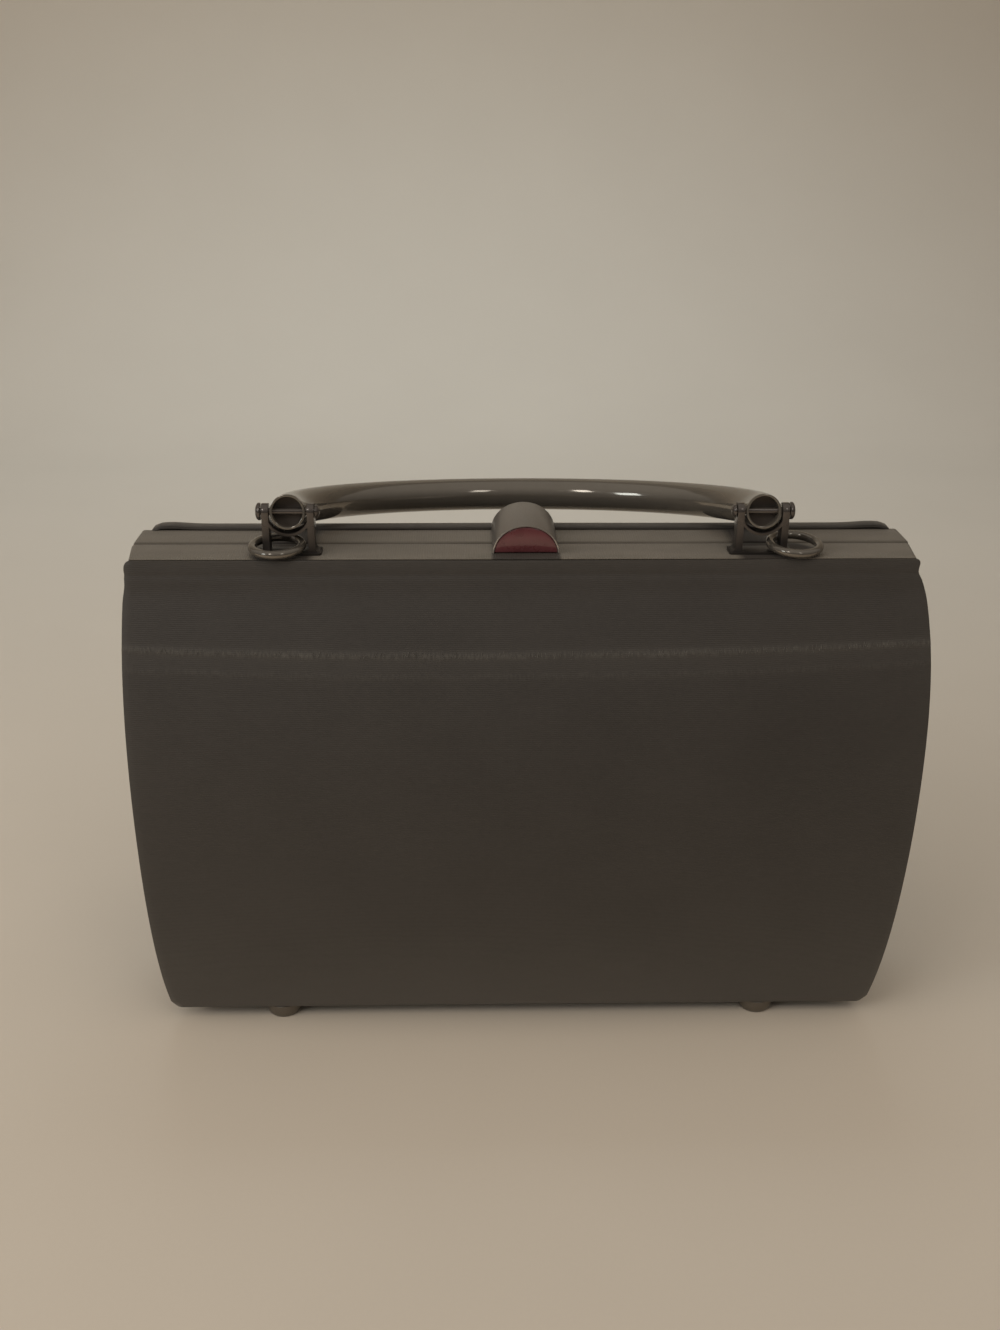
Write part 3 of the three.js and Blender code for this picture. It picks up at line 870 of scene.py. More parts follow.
def swept_arch_tree():
    """A round skin along half an ellipse whose two ends run on straight past the pivots."""
    root, wires = grower(
        "swept_arch",
        Half_Span=NUMBER,
        Rise=NUMBER,
        Past_Pivot=NUMBER,
        Straight_Share=NUMBER,
        Radius=NUMBER,
        Steps=WHOLE,
        Sides=WHOLE,
        Material=FINISH,
    )
    straight = wires["Straight_Share"]
    along = root.node("GeometryNodeSplineParameter")
    bend = (along - straight) / (1 - straight * 2.0)
    bend = bend.math("MINIMUM", bend.math("MAXIMUM", bend, 0.0), 1.0) * math.pi
    before = along.math("MAXIMUM", straight - along, 0.0)
    after = along.math("MAXIMUM", along - (1 - straight), 0.0)
    x = bend.math("COSINE", bend) * wires["Half_Span"] * -1.0
    y = bend.math("SINE", bend) * wires["Rise"] - (before + after) / straight * wires["Past_Pivot"]
    line = root.node("GeometryNodeCurvePrimitiveLine")
    points = root.node("GeometryNodeResampleCurve", sockets={"Curve": line, "Count": wires["Steps"]})
    place = root.node("ShaderNodeCombineXYZ", sockets={"X": x, "Y": y})
    path = root.node("GeometryNodeSetPosition", sockets={"Geometry": points, "Position": place})
    return end_tree(round_skin(path, wires["Sides"], wires["Radius"]), wires["Material"])


def wire_ring_tree():
    """A closed round wire."""
    root, wires = grower(
        "wire_ring", Ring_Radius=NUMBER, Wire_Radius=NUMBER, Steps=WHOLE, Sides=WHOLE, Material=FINISH
    )
    loop = {"Resolution": wires["Steps"], "Radius": wires["Ring_Radius"]}
    path = root.node("GeometryNodeCurvePrimitiveCircle", sockets=loop)
    return end_tree(round_skin(path, wires["Sides"], wires["Wire_Radius"]), wires["Material"])


def rubbed_threads_tree():
    """Short thread ends strewn along a path, each turned and sized at random from a fixed seed."""
    root, wires = grower(
        "rubbed_threads",
        Path=SHAPE,
        Count=WHOLE,
        Thread_Length=NUMBER,
        Thread_Radius=NUMBER,
        Spread=NUMBER,
        Lean=NUMBER,
        Seed=WHOLE,
        Material=FINISH,
    )
    vector = {"data_type": "FLOAT_VECTOR"}
    spread = wires["Spread"]
    low = root.node("ShaderNodeCombineXYZ", sockets={"X": spread * -1.0, "Z": spread * -1.0})
    high = root.node("ShaderNodeCombineXYZ", sockets={"X": spread, "Z": spread})
    strewn = root.node("FunctionNodeRandomValue", vector, {0: low, 1: high, "Seed": wires["Seed"]})
    turn_low = root.node("ShaderNodeCombineXYZ", sockets={"X": wires["Lean"] - 0.12, "Y": -0.5})
    turn_high = root.node("ShaderNodeCombineXYZ", sockets={"X": wires["Lean"] + 0.05, "Y": 0.5})
    turns = {0: turn_low, 1: turn_high, "Seed": wires["Seed"] + 1.0}
    turn = root.node("FunctionNodeRandomValue", vector, turns)
    lengths = {0: (0.7, 0.7, 0.25), 1: (1.2, 1.2, 1.0), "Seed": wires["Seed"] + 2.0}
    size = root.node("FunctionNodeRandomValue", vector, lengths)
    curve = root.node("GeometryNodeMeshToCurve", sockets={"Mesh": wires["Path"]})
    points = root.node("GeometryNodeResampleCurve", sockets={"Curve": curve, "Count": wires["Count"]})
    moved = root.node("GeometryNodeSetPosition", sockets={"Geometry": points, "Offset": strewn})
    rod = {"Vertices": 5, "Radius": wires["Thread_Radius"], "Depth": wires["Thread_Length"]}
    thread = root.node("GeometryNodeMeshCylinder", sockets=rod)
    placed = {"Points": moved, "Instance": thread, "Rotation": turn, "Scale": size}
    copies = root.node("GeometryNodeInstanceOnPoints", sockets=placed)
    return end_tree(copies, wires["Material"])


# Body surfaces


def bow(share):
    """0 at both ends of a share from 0 to 1, and 1 in its middle."""
    return 4 * share * (1 - share)


def swell(value, middle, reach):
    """1 at a place, falling off to 0 on both sides of it."""
    return np.exp(-(((value - middle) / reach) ** 2))


def height_share(z):
    """Share of the height between the base and the foot of the rim."""
    return np.clip((z - BASE_Z) / (RIM_FOOT_Z - BASE_Z), 0, 1)


def half_width(z):
    """Half the bag's width at a height, with its rounded bottom corners."""
    share = height_share(z)
    straight = BASE_HALF_WIDTH + (FRAME_HALF_WIDTH - BASE_HALF_WIDTH) * share
    into_corner = np.clip(BASE_Z + BOTTOM_CORNER_RADIUS - z, 0, BOTTOM_CORNER_RADIUS)
    round_off = np.sqrt(BOTTOM_CORNER_RADIUS**2 - into_corner**2) - BOTTOM_CORNER_RADIUS
    return straight + SIDE_BULGE * np.sqrt(bow(share)) + round_off


def half_depth(t, z):
    """Half the bag's depth at a share of its half width and at a height."""
    share = height_share(z)
    bulge = BULGE_AT_MIDDLE + (BULGE_AT_ENDS - BULGE_AT_MIDDLE) * t * t
    return BASE_HALF_DEPTH + (FRAME_HALF_DEPTH - BASE_HALF_DEPTH) * share + bulge * bow(share)


def rim_bead(z):
    """The rim's ends stand a little proud, over a shallow neck."""
    bead = RIM_BEAD * swell(z, RIM_BEAD_Z, RIM_BEAD_HEIGHT)
    return bead - RIM_NECK * swell(z, RIM_NECK_Z, RIM_NECK_HEIGHT)


def unevenness(x, z, seed):
    """A slow hand-made wave over the cloth, a fraction of a millimetre deep."""
    draw = np.random.default_rng(seed)
    total = np.zeros_like(x)
    for _ in range(6):
        across, up = draw.uniform(*UNEVEN_WAVES, 2)
        phase = draw.uniform(0, 2 * math.pi)
        total += UNEVEN_DEPTH * np.sin(x * across + z * up * draw.choice([-1, 1]) + phase)
    return total


def crease_z(x):
    """The height of the crease, which rises to both sides."""
    return CREASE_Z + CREASE_RISE * ((x - CREASE_LOW_X) / FRAME_HALF_WIDTH) ** 2


def crease_ridge(x, z):
    """How far the crease and the fainter one below it stand out."""
    above = z - crease_z(x)
    ridge = CREASE_RIDGE * swell(above, 0, CREASE_HALF_HEIGHT)
    return ridge + SECOND_CREASE_RIDGE * swell(above, -SECOND_CREASE_DROP, CREASE_HALF_HEIGHT)


def side_reach(on_right, z):
    """How far from the middle a panel's side edge stands, on the bag's right or on its left."""
    share = height_share(z)
    left = LEFT_WAVE * np.cos(2 * math.pi * LEFT_WAVES * share)
    pinch = RIGHT_PINCH * swell(z, RIGHT_PINCH_Z, RIGHT_PINCH_HEIGHT)
    right = RIGHT_SWELL * np.sin(math.pi * share**3) - pinch
    return half_width(z) + rim_bead(z) + np.where(on_right, right, left)


def panel_grid(top_z, *crowded):
    """Shares of the half width across a panel, and heights up it, as two grids."""
    height = top_z - BASE_Z
    rim_start = RIM_NECK_Z - 2 * RIM_NECK_HEIGHT - BASE_Z
    rim = (rim_start, height - EDGE_ROLL, RIM_STEP)
    z = BASE_Z + rolled_stops(height, PANEL_WALL, PANEL_STEP_UP, rim, *crowded)
    t = rolled_stops(2 * FRAME_HALF_WIDTH, PANEL_WALL, PANEL_STEP_ACROSS) / FRAME_HALF_WIDTH - 1
    return np.meshgrid(t, z)


def front_panel_points(top_z, seed):
    """The outside of the front panel, from its base to its rim under the bar's lip."""
    crease_low = CREASE_Z - SECOND_CREASE_DROP - CREASE_MARGIN - BASE_Z
    crease_high = CREASE_Z + CREASE_RISE + CREASE_MARGIN - BASE_Z
    t, z = panel_grid(top_z, (crease_low, crease_high, CREASE_STEP))
    into_corner = np.clip(z - top_z + TOP_CORNER_RADIUS, 0, TOP_CORNER_RADIUS)
    corner = TOP_CORNER_RADIUS - np.sqrt(TOP_CORNER_RADIUS**2 - into_corner**2)
    x = t * (side_reach(t > 0, z) - corner)
    shoulder = SHOULDER * swell(z, RIM_FOOT_Z, SHOULDER_HEIGHT)
    proud = unevenness(x, z, seed) + crease_ridge(x, z) + shoulder
    return np.stack([x, -half_depth(t, z) - proud, z], axis=-1)


def back_panel_points(top_z, seed):
    """The outside of the back panel, and how thick it is where its rim leans over the bar."""
    over_bar = BAR_TOP_Z + LIP_GAP
    lean_low = over_bar - BACK_RIM_LEAN_HEIGHT - BASE_Z
    lean_high = over_bar + 2 * BACK_RIM_LEAN_HEIGHT - BASE_Z
    t, z = panel_grid(top_z, (lean_low, lean_high, OVER_BAR_STEP))
    x = -t * side_reach(t < 0, z)
    lean = BACK_RIM_LEAN * np.clip((z - over_bar) / BACK_RIM_LEAN_HEIGHT, 0, 1)
    end = np.clip((np.abs(x) - BACK_RIM_END_X) / (FRAME_HALF_WIDTH - BACK_RIM_END_X), 0, 1)
    peak = BACK_RIM_PEAK * swell(np.abs(x), BACK_RIM_PEAK_X, BACK_RIM_PEAK_HALF)
    near_rim = np.clip((z - RIM_NECK_Z) / (top_z - RIM_NECK_Z), 0, 1)
    y = half_depth(t, z) + unevenness(x, z, seed)
    raised = z + (peak - BACK_RIM_END_DROP * end**3.5) * near_rim**2
    return np.stack([x, y, raised], axis=-1), PANEL_WALL + lean


def gusset_points(seed):
    """The outside of the right side cloth, folded inwards most at the frame."""
    top_z = BAR_BOTTOM_Z - CLEARANCE
    height = top_z - BASE_Z
    z = BASE_Z + rolled_stops(height, GUSSET_WALL, GUSSET_STEP_UP)
    t = rolled_stops(2.0, GUSSET_EDGE_SHARE, GUSSET_STEP_SHARE) - 1
    t, z = np.meshgrid(t, z)
    span = half_depth(1.0, z) - PANEL_WALL - CLEARANCE
    rise = np.sin(height_share(z) * math.pi / 2)
    fold = GUSSET_FOLD_DEPTH * rise * np.cos(t * math.pi / 2) ** 2
    slack = np.cos(t * math.pi / 2) * unevenness(t * span * 2, z * 3, seed) * GUSSET_SLACK
    return np.stack([half_width(z) - GUSSET_INSET - fold + slack, t * span, z], axis=-1)


# Cloth pieces


def cloth_piece(name, points, wall, material, node):
    """One cloth wall, with its material, tied to the body."""
    piece, flat, area = closed_cloth(name, points, wall)
    finished(piece, material, "body", "panel_fabric", node)
    return piece


def make_cloths():
    """The front, back, side and base cloths."""
    creased = faille("creased_black_faille", creased=True)
    plain = faille("black_faille", creased=False)
    front_top = LIP_TOP_Z - LIP_THICKNESS - LIP_GAP
    front = front_panel_points(front_top, seed=3)
    cloth_piece(
        "front_cloth", front, PANEL_WALL, creased, "front_panel"
    )
    back, back_wall = back_panel_points(back_panel_high.z, seed=8)
    cloth_piece("back_cloth", back, back_wall, plain, "back_panel")
    right = gusset_points(seed=11)
    cloth_piece("side_cloth_right", right, GUSSET_WALL, plain, "gusset_right")
    left = turned(gusset_points(seed=14))
    cloth_piece("side_cloth_left", left, GUSSET_WALL, plain, "gusset_left")

    wall = base_high.z - base_low.z
    width = base_high.x - base_low.x
    depth = base_high.y - base_low.y
    across = rolled_stops(width, wall, BASE_STEP_ACROSS) - width / 2
    back_to_front = rolled_stops(depth, wall, BASE_STEP_BACK) - depth / 2
    x, y = np.meshgrid(across, back_to_front)
    under = np.stack([x, -y, np.full_like(x, base_low.z)], axis=-1)
    cloth_piece("base_cloth", under, wall, plain, "base_panel")


def make_crease_threads():
    """Thread ends rubbed up along the front crease."""
    x = np.linspace(-FRAME_HALF_WIDTH, FRAME_HALF_WIDTH, 90) * THREADS_SHARE
    z = crease_z(x)
    t = x / side_reach(x > 0, z)
    y = -half_depth(t, z) - CREASE_RIDGE - unevenness(x, z, seed=3)
    path = bpy.data.meshes.new("crease_path")
    points = to_frame(np.stack([x, y, z], axis=-1))
    path.from_pydata(points.tolist(), [(i, i + 1) for i in range(len(x) - 1)], [])
    slope = BULGE_AT_MIDDLE * 4 * (1 - 2 * height_share(CREASE_Z)) / (RIM_FOOT_Z - BASE_Z)
    material = loose_thread("rubbed_thread")
    piece = grown(
        "crease_threads",
        rubbed_threads_tree(),
        path,
        Count=THREAD_COUNT,
        Thread_Length=THREAD_LENGTH * MM,
        Thread_Radius=THREAD_RADIUS * MM,
        Spread=THREAD_SPREAD * MM,
        Lean=math.atan(slope),
        Seed=THREAD_SEED,
        Material=material,
    )
    finished(piece, material, "body", "panel_fabric")


# Frame bars


def front_bar_section():
    """(y, z) round the front bar: from the seam over the top to the lip that covers the rim."""
    seam = -BAR_SEAM_HALF
    lip = -FRAME_HALF_DEPTH - LIP_GAP
    lip_bottom = LIP_TOP_Z - LIP_THICKNESS
    section = [(seam, BAR_BOTTOM_Z)]
    section += arc((seam - BAR_SEAM_ROUND, BAR_TOP_Z - BAR_SEAM_ROUND), BAR_SEAM_ROUND, 0, 90, 6)
    section += arc((lip + LIP_ROUND, LIP_TOP_Z - LIP_ROUND), LIP_ROUND, 90, 180, 4)
    section += arc((lip + LIP_ROUND, lip_bottom + LIP_ROUND), LIP_ROUND, 180, 270, 4)
    section += [(-BAR_HALF_DEPTH, lip_bottom), (-BAR_HALF_DEPTH, BAR_BOTTOM_Z)]
    return np.array(section)


def back_bar_section():
    """(y, z) round the back bar, from the rim over the top to the seam."""
    seam = BAR_SEAM_HALF
    rim = BAR_HALF_DEPTH
    section = [(rim, BAR_BOTTOM_Z)]
    section += arc((rim - LIP_ROUND, BAR_TOP_Z - LIP_ROUND), LIP_ROUND, 0, 90, 4)
    section += arc((seam + BAR_SEAM_ROUND, BAR_TOP_Z - BAR_SEAM_ROUND), BAR_SEAM_ROUND, 90, 180, 6)
    section += [(seam, BAR_BOTTOM_Z)]
    return np.array(section)


def lofted_bar(name, section, left_x, right_x):
    """A section run along the frame, drawn in towards its middle at both rounded ends. The lip and
    the front below it are cut shorter than the rest."""
    length = right_x - left_x
    middle = (section.min(axis=0) + section.max(axis=0)) / 2
    half = (section.max(axis=0) - section.min(axis=0)) / 2
    at_lip = section[:, 0] < SAME_PLACE - BAR_HALF_DEPTH
    rings = []
    ends = BAR_END_ROUND * (1 - np.cos(np.linspace(0, math.pi / 2, 8)))
    middle_stops = np.linspace(BAR_END_ROUND, length - BAR_END_ROUND, 50)
    for distance in np.unique(np.concatenate([ends, middle_stops, length - ends])):
        from_end = min(distance, length - distance, BAR_END_ROUND)
        inset = BAR_END_ROUND - math.sqrt(BAR_END_ROUND**2 - (BAR_END_ROUND - from_end) ** 2)
        drawn = middle + (section - middle) * (1 - inset / half)
        from_ends = np.array([[distance], [length - distance]])
        near_ends = np.clip(1 - from_ends / LIP_END_LENGTH, 0, 1)
        short = LIP_END_INSET * at_lip * near_ends
        x = left_x + distance + short[0] - short[1]
        rings.append(np.column_stack([x, drawn]))
    count = len(section)
    last = (len(rings) - 1) * count
    faces = [tuple(range(count))[::-1]]
    for first in range(0, last, count):
        faces += ring_faces(first, count)
    faces.append(tuple(range(last, last + count)))
    return mesh_object(name, np.concatenate(rings), faces)


def make_bars():
    """The cloth covers of the two frame bars."""
    satin = bar_satin("bar_satin")
    sections = {"front": front_bar_section(), "back": back_bar_section()}
    ends = {"front": FRONT_BAR_ENDS, "back": BACK_BAR_ENDS}
    for side, section in sections.items():
        cover = lofted_bar(f"{side}_bar_cover", section, *ends[side])
        finished(cover, satin, "body", "bar_fabric", f"frame_bar_{side}", sharp_angle=50)


# Metal pieces


def moved(points, x, y, z):
    """Points moved by so many millimetres."""
    return np.asarray(points, float) + (x, y, z)


def make_feet(metal):
    """A domed stud for each foot."""
    for node in sorted(FOOT_NODES):
        low, high = node_box(node)
        radius = (high.x - low.x) / 2
        dome_radii = (radius - FOOT_FLAT_RADIUS, FOOT_DOME_HEIGHT)
        dome = arc((FOOT_FLAT_RADIUS, FOOT_DOME_HEIGHT), dome_radii, -90, 0, 8)
        top = [(radius, high.z - FOOT_CHAMFER), (radius - FOOT_CHAMFER, high.z), (0.0, high.z)]
        points, faces = lathe([(0.0, 0.0), *dome, *top], steps=40)
        upright = [(y, z, x) for x, y, z in points]
        centre = (low + high) / 2
        stud = mesh_object(node + "_stud", moved(upright, centre.x, centre.y - SEAM_Y, 0), faces)
        finished(stud, metal, "body", "gunmetal", node)


def make_handle(metal, plug_shade_metal):
    """The bent tube, laid back as in the photograph, and a dark plug set back in each of its ends as
    painted shade inside the tube.
    """
    arch_length = math.pi * math.sqrt((PIVOT_X**2 + HANDLE_RISE**2) / 2)
    tube = grown(
        "handle_tube",
        swept_arch_tree(),
        Half_Span=PIVOT_X * MM,
        Rise=HANDLE_RISE * MM,
        Past_Pivot=TUBE_PAST_PIVOT * MM,
        Straight_Share=TUBE_PAST_PIVOT / (arch_length + 2 * TUBE_PAST_PIVOT),
        Radius=TUBE_RADIUS * MM,
        Steps=180,
        Sides=48,
        Material=metal,
    )
    modified(tube, "SOLIDIFY", thickness=TUBE_WALL * MM, offset=-1.0, use_rim=True)
    softened(tube, METAL_BEVEL, 2)
    pivot = Vector((0, PIVOT_Y + SEAM_Y, PIVOT_Z)) * MM
    laid_back = Matrix.Translation(pivot) @ Matrix.Rotation(-HANDLE_DROOP, 4, "X")
    tube.data.transform(laid_back)
    finished(tube, metal, "handle", "gunmetal", "handle")
    for side, x in (("left", -PIVOT_X), ("right", PIVOT_X)):
        disc = arc((x, 0.0), TUBE_RADIUS - TUBE_WALL / 2, 0, 350, 35)
        plug = prism(f"{side}_tube_plug", disc, 1, PLUG_PAST_PIVOT, PLUG_PAST_PIVOT + PLUG_THICKNESS)
        plug.data.transform(laid_back @ Matrix.Translation((0, -SEAM_Y * MM, 0)))
        finished(plug, plug_shade_metal, "handle", "gunmetal")


def bracket_solid(name):
    """Two round-topped legs that flare onto a plate, tied by a curved saddle over a window."""
    leg_top = PIVOT_Z + LEG_DEPTH / 2
    saddle_end = math.degrees(math.asin(LEG_INNER / SADDLE_TOP_RADIUS))
    under_end = math.degrees(math.asin(LEG_INNER / SADDLE_UNDER_RADIUS))
    foot = LEG_OUTER + LEG_FILLET
    sunk_z = PLATE_TOP_Z - LEG_SINK
    fillet_z = PLATE_TOP_Z + LEG_FILLET
    outline = [(-foot, sunk_z), (foot, sunk_z)]
    outline += arc((foot, fillet_z), LEG_FILLET, 265, 180, 6)
    outline += [(LEG_OUTER, leg_top), (LEG_INNER, leg_top)]
    outline += arc((0, PIVOT_Z), SADDLE_TOP_RADIUS, saddle_end - 90, -saddle_end - 90, 20)
    outline += [(-LEG_INNER, leg_top), (-LEG_OUTER, leg_top)]
    outline += arc((-foot, fillet_z), LEG_FILLET, 0, -85, 6)
    half = LEG_DEPTH / 2
    legs = prism(name, outline, 1, -half, half)
    window = arc((0, PIVOT_Z), SADDLE_UNDER_RADIUS, -under_end - 90, under_end - 90, 20)
    window += [(LEG_INNER, PLATE_TOP_Z - CUT_PAST), (-LEG_INNER, PLATE_TOP_Z - CUT_PAST)]
    carved(legs, prism("window", window, 1, -LEG_DEPTH, LEG_DEPTH), "DIFFERENCE")
    side = [(-half, sunk_z - CUT_PAST), (half, sunk_z - CUT_PAST)]
    side += arc((0, PIVOT_Z), half, 0, 180, 24)
    carved(legs, prism("side", side, 0, -PLATE_HALF_WIDTH, PLATE_HALF_WIDTH), "INTERSECT")
    plan = []
    for start, right, back in ((0, 1, 1), (90, -1, 1), (180, -1, -1), (270, 1, -1)):
        corner_x = right * (PLATE_HALF_WIDTH - PLATE_CORNER)
        corner_y = back * (PLATE_HALF_DEPTH - PLATE_CORNER)
        plan += arc((corner_x, corner_y), PLATE_CORNER, start, start + 90, 5)
    carved(legs, prism("plate", plan, 2, PLATE_BOTTOM_Z, PLATE_TOP_Z), "UNION")
    return softened(legs, METAL_BEVEL, 2)


def pin_profile():
    """(radius, place along the pin) from the nut's dome to the head's dome."""
    nut_x = -LEG_OUTER - CLEARANCE
    head_x = LEG_OUTER + CLEARANCE
    nut = arc((0, nut_x), (PIN_NUT_RADIUS, PIN_NUT_THICKNESS), -90, 0, 6)
    dome_height = PIN_HEAD_THICKNESS - PIN_HEAD_EDGE
    head = arc((0, head_x + PIN_HEAD_EDGE), (PIN_HEAD_RADIUS, dome_height), 0, 90, 8)
    shank = [(PIN_RADIUS, nut_x), (PIN_RADIUS, head_x)]
    head_edge = [(PIN_HEAD_RADIUS - PIN_HEAD_CHAMFER, head_x)]
    head_edge += [(PIN_HEAD_RADIUS, head_x + PIN_HEAD_CHAMFER)]
    return [*nut, *shank, *head_edge, *head]


def make_brackets_and_pins(metal):
    """A bracket at each end of the handle, and the screw pin through it with its head outwards."""
    for side, outward in (("left", -1), ("right", 1)):
        bracket = bracket_solid(f"{side}_bracket_plate")
        place = Vector((outward * PIVOT_X, PIVOT_Y, 0)) * MM
        bracket.data.transform(Matrix.Translation(place))
        finished(bracket, metal, "body", "gunmetal", f"bracket_{side}")
        points, faces = lathe(pin_profile(), steps=36)
        if outward < 0:
            points = turned(points)
        points = moved(points, outward * PIVOT_X, PIVOT_Y, PIVOT_Z)
        screw = mesh_object(f"{side}_screw_pin", points, faces)
        finished(screw, metal, "body", "gunmetal", f"pin_{side}")


def make_rings(metal):
    """The loose strap rings, each where it lies round its bracket's outer leg."""
    tree = wire_ring_tree()
    for side, (about_width, about_depth) in RING_TILTS.items():
        low, high = node_box(f"ring_{side}")
        ring = grown(
            f"{side}_strap_ring",
            tree,
            Ring_Radius=RING_RADIUS * MM,
            Wire_Radius=RING_WIRE_RADIUS * MM,
            Steps=72,
            Sides=20,
            Material=metal,
        )
        tilt = Matrix.Rotation(math.radians(about_width), 4, "X")
        tilt @= Matrix.Rotation(math.radians(about_depth), 4, "Y")
        ring.data.transform(Matrix.Translation((low + high) / 2 * MM) @ tilt)
        finished(ring, metal, "body", "gunmetal", f"ring_{side}")


def half_barrel(half_width_here, height, skirt):
    """(x, z) of half an ellipse on its chord, with a straight skirt below the chord."""
    outline = arc((0, CLASP_UNDERSIDE_Z), (half_width_here, height), 0, 180, 56)
    bottom = CLASP_UNDERSIDE_Z - skirt
    return [*outline, (-half_width_here, bottom), (half_width_here, bottom)]


def make_clasp_lever(metal):
    """The hollow half barrel, open below, with a rebate for its cap and a notch for its hinge."""
    outer = half_barrel(CLASP_HALF_WIDTH, CLASP_HEIGHT, CUT_PAST)
    lever = prism("clasp_barrel", outer, 1, CLASP_FRONT_Y, CLASP_BACK_Y)
    corner = CLASP_PIVOT_Z - CLASP_UNDERSIDE_Z
    top = CLASP_UNDERSIDE_Z + CLASP_HEIGHT + CUT_PAST
    ahead = CLASP_FRONT_Y - CUT_PAST
    side = arc((CLASP_PIVOT_Y, CLASP_PIVOT_Z), corner, -90, 0, 12)
    side += [(CLASP_PIVOT_Y + corner, top), (ahead, top), (ahead, CLASP_UNDERSIDE_Z)]
    reach = CLASP_HALF_WIDTH + CUT_PAST
    carved(lever, prism("side", side, 0, -reach, reach), "INTERSECT")
    inner = half_barrel(CLASP_HALF_WIDTH - CLASP_WALL, CLASP_HEIGHT - CLASP_WALL, 2 * CUT_PAST)
    hollow = prism("hollow", inner, 1, ahead, CLASP_BACK_Y - CLASP_BACK_WALL)
    carved(lever, hollow, "DIFFERENCE")
    rebate = half_barrel(CLASP_HALF_WIDTH - CLASP_LIP, CLASP_HEIGHT - CLASP_LIP, 2 * CUT_PAST)
    cap_back = CLASP_FRONT_Y + CAP_THICKNESS + LIP_GAP
    carved(lever, prism("rebate", rebate, 1, ahead, cap_back), "DIFFERENCE")
    notch_half = HINGE_HALF_WIDTH + CLEARANCE
    notch_top = CLASP_PIVOT_Z + HINGE_STEM_BACK + CLEARANCE
    notch_bottom = CLASP_UNDERSIDE_Z - CUT_PAST
    notch = [(-notch_half, notch_bottom), (notch_half, notch_bottom)]
    notch += [(notch_half, notch_top), (-notch_half, notch_top)]
    gap = prism("notch", notch, 1, CLASP_BACK_Y - corner, CLASP_BACK_Y + corner)
    carved(lever, gap, "DIFFERENCE")
    softened(lever, CLASP_BEVEL)
    finished(lever, metal, "clasp", "gunmetal", "clasp_lever", sharp_angle=60)


def make_clasp_cap(enamel):
    """The pillowed front face of the barrel."""
    u = np.sin(np.linspace(-1, 1, 61) * math.pi / 2)
    v = rolled_stops(1.0, 0.2, 0.05)
    u, v = np.meshgrid(u, v)
    half_width_here = CLASP_HALF_WIDTH - CAP_INSET
    height = CLASP_HEIGHT - CAP_INSET
    x = half_width_here * u
    rise = height * np.sqrt(np.clip(1 - u * u, 0, 1)) * v
    pillow = CAP_DOME * (1 - u * u) * (1 - (2 * v - 1) ** 2)
    face = np.stack([x, CLASP_FRONT_Y + CAP_DOME - pillow, CLASP_UNDERSIDE_Z + rise], axis=-1)
    cap, _, _ = closed_cloth("clasp_front", face, CAP_THICKNESS, facing=(0.0, -1.0, 0.0))
    modified(cap, "WELD", merge_threshold=CAP_WELD * MM)
    finished(cap, enamel, "clasp", "red_enamel", "clasp_cap", sharp_angle=70)


def make_clasp_hinge(metal):
    """The knuckle on the back bar, with its pin."""
    foot_z = BAR_TOP_Z + CLEARANCE
    stem_back = CLASP_PIVOT_Y + HINGE_STEM_BACK
    knuckle = [(CLASP_PIVOT_Y - HINGE_KNUCKLE_RADIUS, foot_z), (stem_back, foot_z)]
    knuckle += [(stem_back, CLASP_PIVOT_Z - HINGE_KNUCKLE_RADIUS)]
    knuckle += arc((CLASP_PIVOT_Y, CLASP_PIVOT_Z), HINGE_KNUCKLE_RADIUS, -60, 180, 20)
    hinge = prism("clasp_knuckle", knuckle, 0, -HINGE_HALF_WIDTH, HINGE_HALF_WIDTH)
    rod = arc((CLASP_PIVOT_Y, CLASP_PIVOT_Z), HINGE_PIN_RADIUS, 0, 345, 23)
    pin = prism("clasp_pin", rod, 0, -HINGE_PIN_HALF_LENGTH, HINGE_PIN_HALF_LENGTH)
    carved(hinge, pin, "UNION")
    softened(hinge, HINGE_BEVEL, 2)
    finished(hinge, metal, "body", "gunmetal", "clasp_hinge")


# Stage, light and camera


def make_stage():
    """A sheet of pale paper that runs level under the bag and curves up behind it."""
    cove = arc((PAPER_COVE_Y, PAPER_COVE_RADIUS), PAPER_COVE_RADIUS, -90, 0, 24)
    profile = [(PAPER_FRONT_Y, 0.0), *cove, (PAPER_COVE_Y + PAPER_COVE_RADIUS, PAPER_TOP_Z)]
    points = [(x, y, z) for y, z in profile for x in (-PAPER_HALF_WIDTH, PAPER_HALF_WIDTH)]
    faces = [(2 * i, 2 * i + 1, 2 * i + 3, 2 * i + 2) for i in range(len(profile) - 1)]
    paper = mesh_object("studio_sweep", points, faces)
    paper.data.shade_smooth()
    paper.data.materials.append(studio_paper("studio_paper"))


def area_light(name, place, target, width, power, tone, height=None):
    """A light at a place in metres, turned to a target. It is square unless it has a height."""
    data = bpy.data.lights.new(name, "AREA")
    data.shape = "RECTANGLE" if height else "SQUARE"
    data.size = width
    data.size_y = height or width
    data.energy = power
    data.color = tone
    light = new_object(name, data)
    light.location = place
    light.rotation_euler = (Vector(target) - Vector(place)).to_track_quat("-Z", "Y").to_euler()
    return light


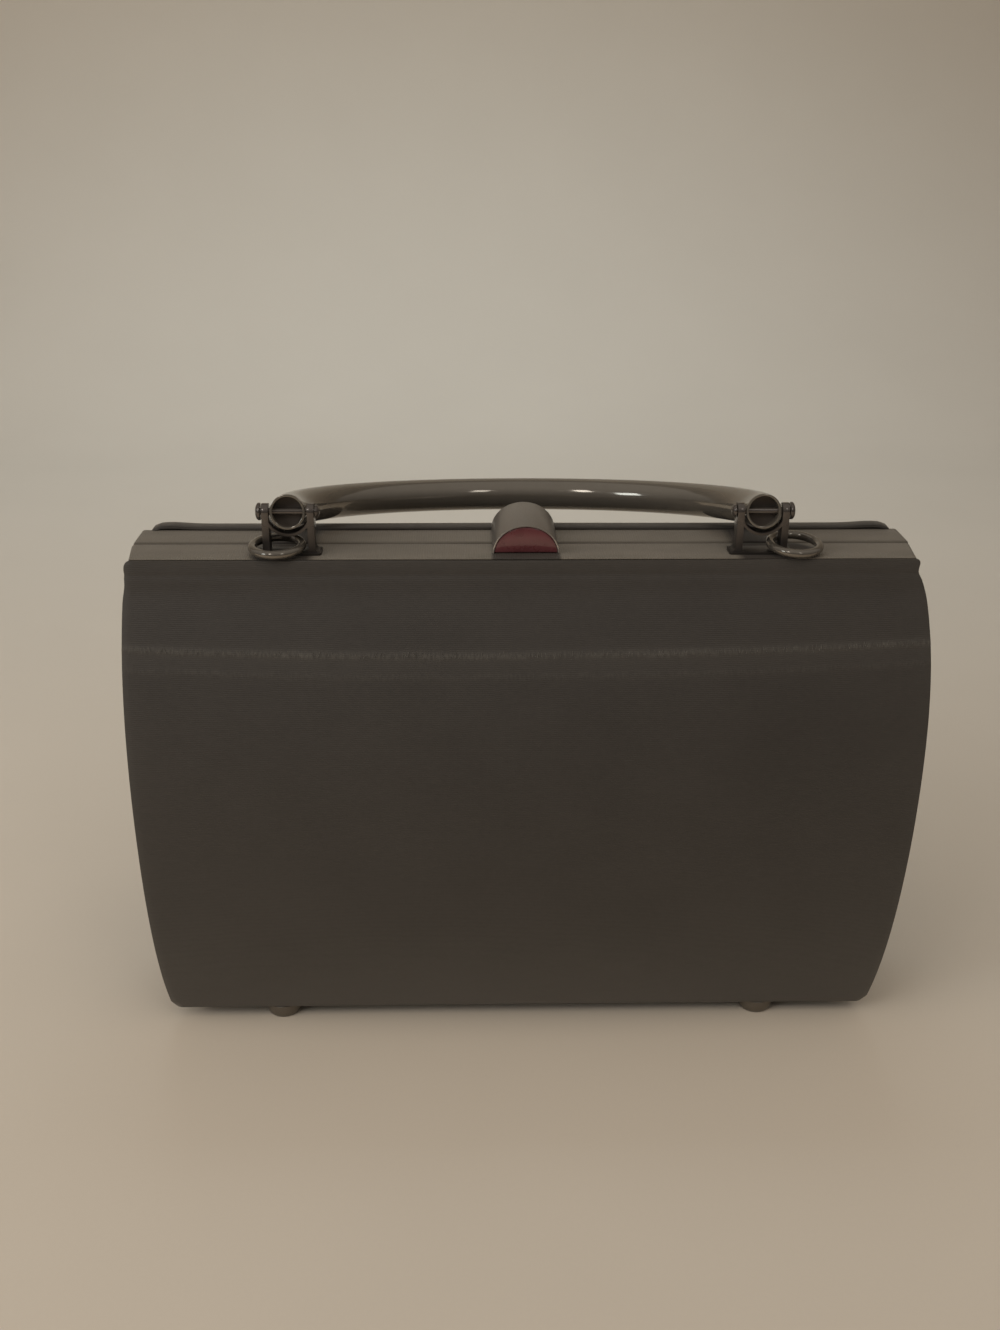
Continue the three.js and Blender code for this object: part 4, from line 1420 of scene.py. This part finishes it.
def make_light():
    """A dim warm room, soft lights round the bag and small windows that glint in its metal."""
    world = bpy.data.worlds.new("soft_room")
    world.use_nodes = True
    background = world.node_tree.nodes["Background"]
    tree = Wire(world.node_tree)
    _, depth, height = split(tree.node("ShaderNodeTexCoord"))
    above = steps_of(height * 0.5 + depth * 0.12 + 0.5, (0.42, 0.18), (0.86, 1.0))
    feed(background, Color=mixed(above, (0.0, 0.0, 0.0, 1.0), ROOM_TONE))
    background.inputs["Strength"].default_value = ROOM_STRENGTH
    bpy.context.scene.world = world
    for name, place, target, size, power, tone, spread in SOFT_LIGHTS:
        soft = area_light(name, place, target, size, power, tone)
        soft.data.spread = math.radians(spread)
        soft.visible_glossy = False
    spark = handle_pivot * MM
    for name, way, width, power, tone in WINDOW_GLINTS:
        place = spark + Vector(way) * GLINT_DISTANCE
        area_light(name, place, spark, width, power, tone, GLINT_HEIGHT)


def make_camera():
    """The camera that took the photograph."""
    data = bpy.data.cameras.new("photo_camera")
    data.sensor_fit = "AUTO"
    data.sensor_width = SENSOR_MM
    data.lens = SENSOR_MM * FOCAL_PIXELS / max(PHOTO_WIDTH, PHOTO_HEIGHT)
    data.clip_start = 0.01
    camera = new_object("photo_camera", data)
    level = math.cos(CAMERA_PITCH)
    level_way = (math.sin(CAMERA_YAW) * level, math.cos(CAMERA_YAW) * level)
    ahead = Vector((*level_way, -math.sin(CAMERA_PITCH)))
    flat_right = Vector((math.cos(CAMERA_YAW), -math.sin(CAMERA_YAW), 0.0))
    flat_up = flat_right.cross(ahead)
    right = flat_right * math.cos(CAMERA_ROLL) + flat_up * math.sin(CAMERA_ROLL)
    up = right.cross(ahead)
    turn = Matrix((right, up, -ahead)).transposed().to_4x4()
    camera.matrix_world = Matrix.Translation(Vector(to_frame(CAMERA_PLACE))) @ turn
    bpy.context.scene.camera = camera
    bpy.context.scene.view_settings.view_transform = "Standard"


make_camera()
make_light()
make_stage()
make_cloths()
make_crease_threads()
make_bars()

plated = gunmetal(
    "gunmetal_plate", (0.205, 0.184, 0.155, 1), (0.255, 0.23, 0.196, 1), 0.06, metallic=0.68
)
# The brackets and pins: a darker copy of the plated gunmetal, as painted shade for the dark
# surroundings that they reflect. It dulls towards the frame as well.
darkened_fittings = gunmetal(
    "gunmetal_fittings", (0.12, 0.106, 0.096, 1), (0.17, 0.15, 0.136, 1), 0.14, tarnish=0.8
)
satin_plated = gunmetal(
    "satin_plate",
    (0.232, 0.212, 0.192, 1),
    (0.285, 0.26, 0.237, 1),
    0.28,
    brushed=1.0,
    painted_rim_highlight=True,
)
ring_plated = gunmetal("ring_plate", (0.19, 0.171, 0.146, 1), (0.24, 0.217, 0.186, 1), 0.1)
foot_plated = gunmetal("foot_plate", (0.16, 0.142, 0.12, 1), (0.2, 0.178, 0.152, 1), 0.3)
# A dark, dull metal for the tube plugs: painted shade for the inside of the tube's ends
dull_bore = gunmetal("dull_bore", (0.1, 0.084, 0.073, 1), (0.14, 0.118, 0.1, 1), 0.45)
make_feet(foot_plated)
make_handle(plated, dull_bore)
make_brackets_and_pins(darkened_fittings)
make_rings(ring_plated)
make_clasp_lever(satin_plated)
make_clasp_cap(garnet_enamel("garnet_enamel"))
make_clasp_hinge(plated)
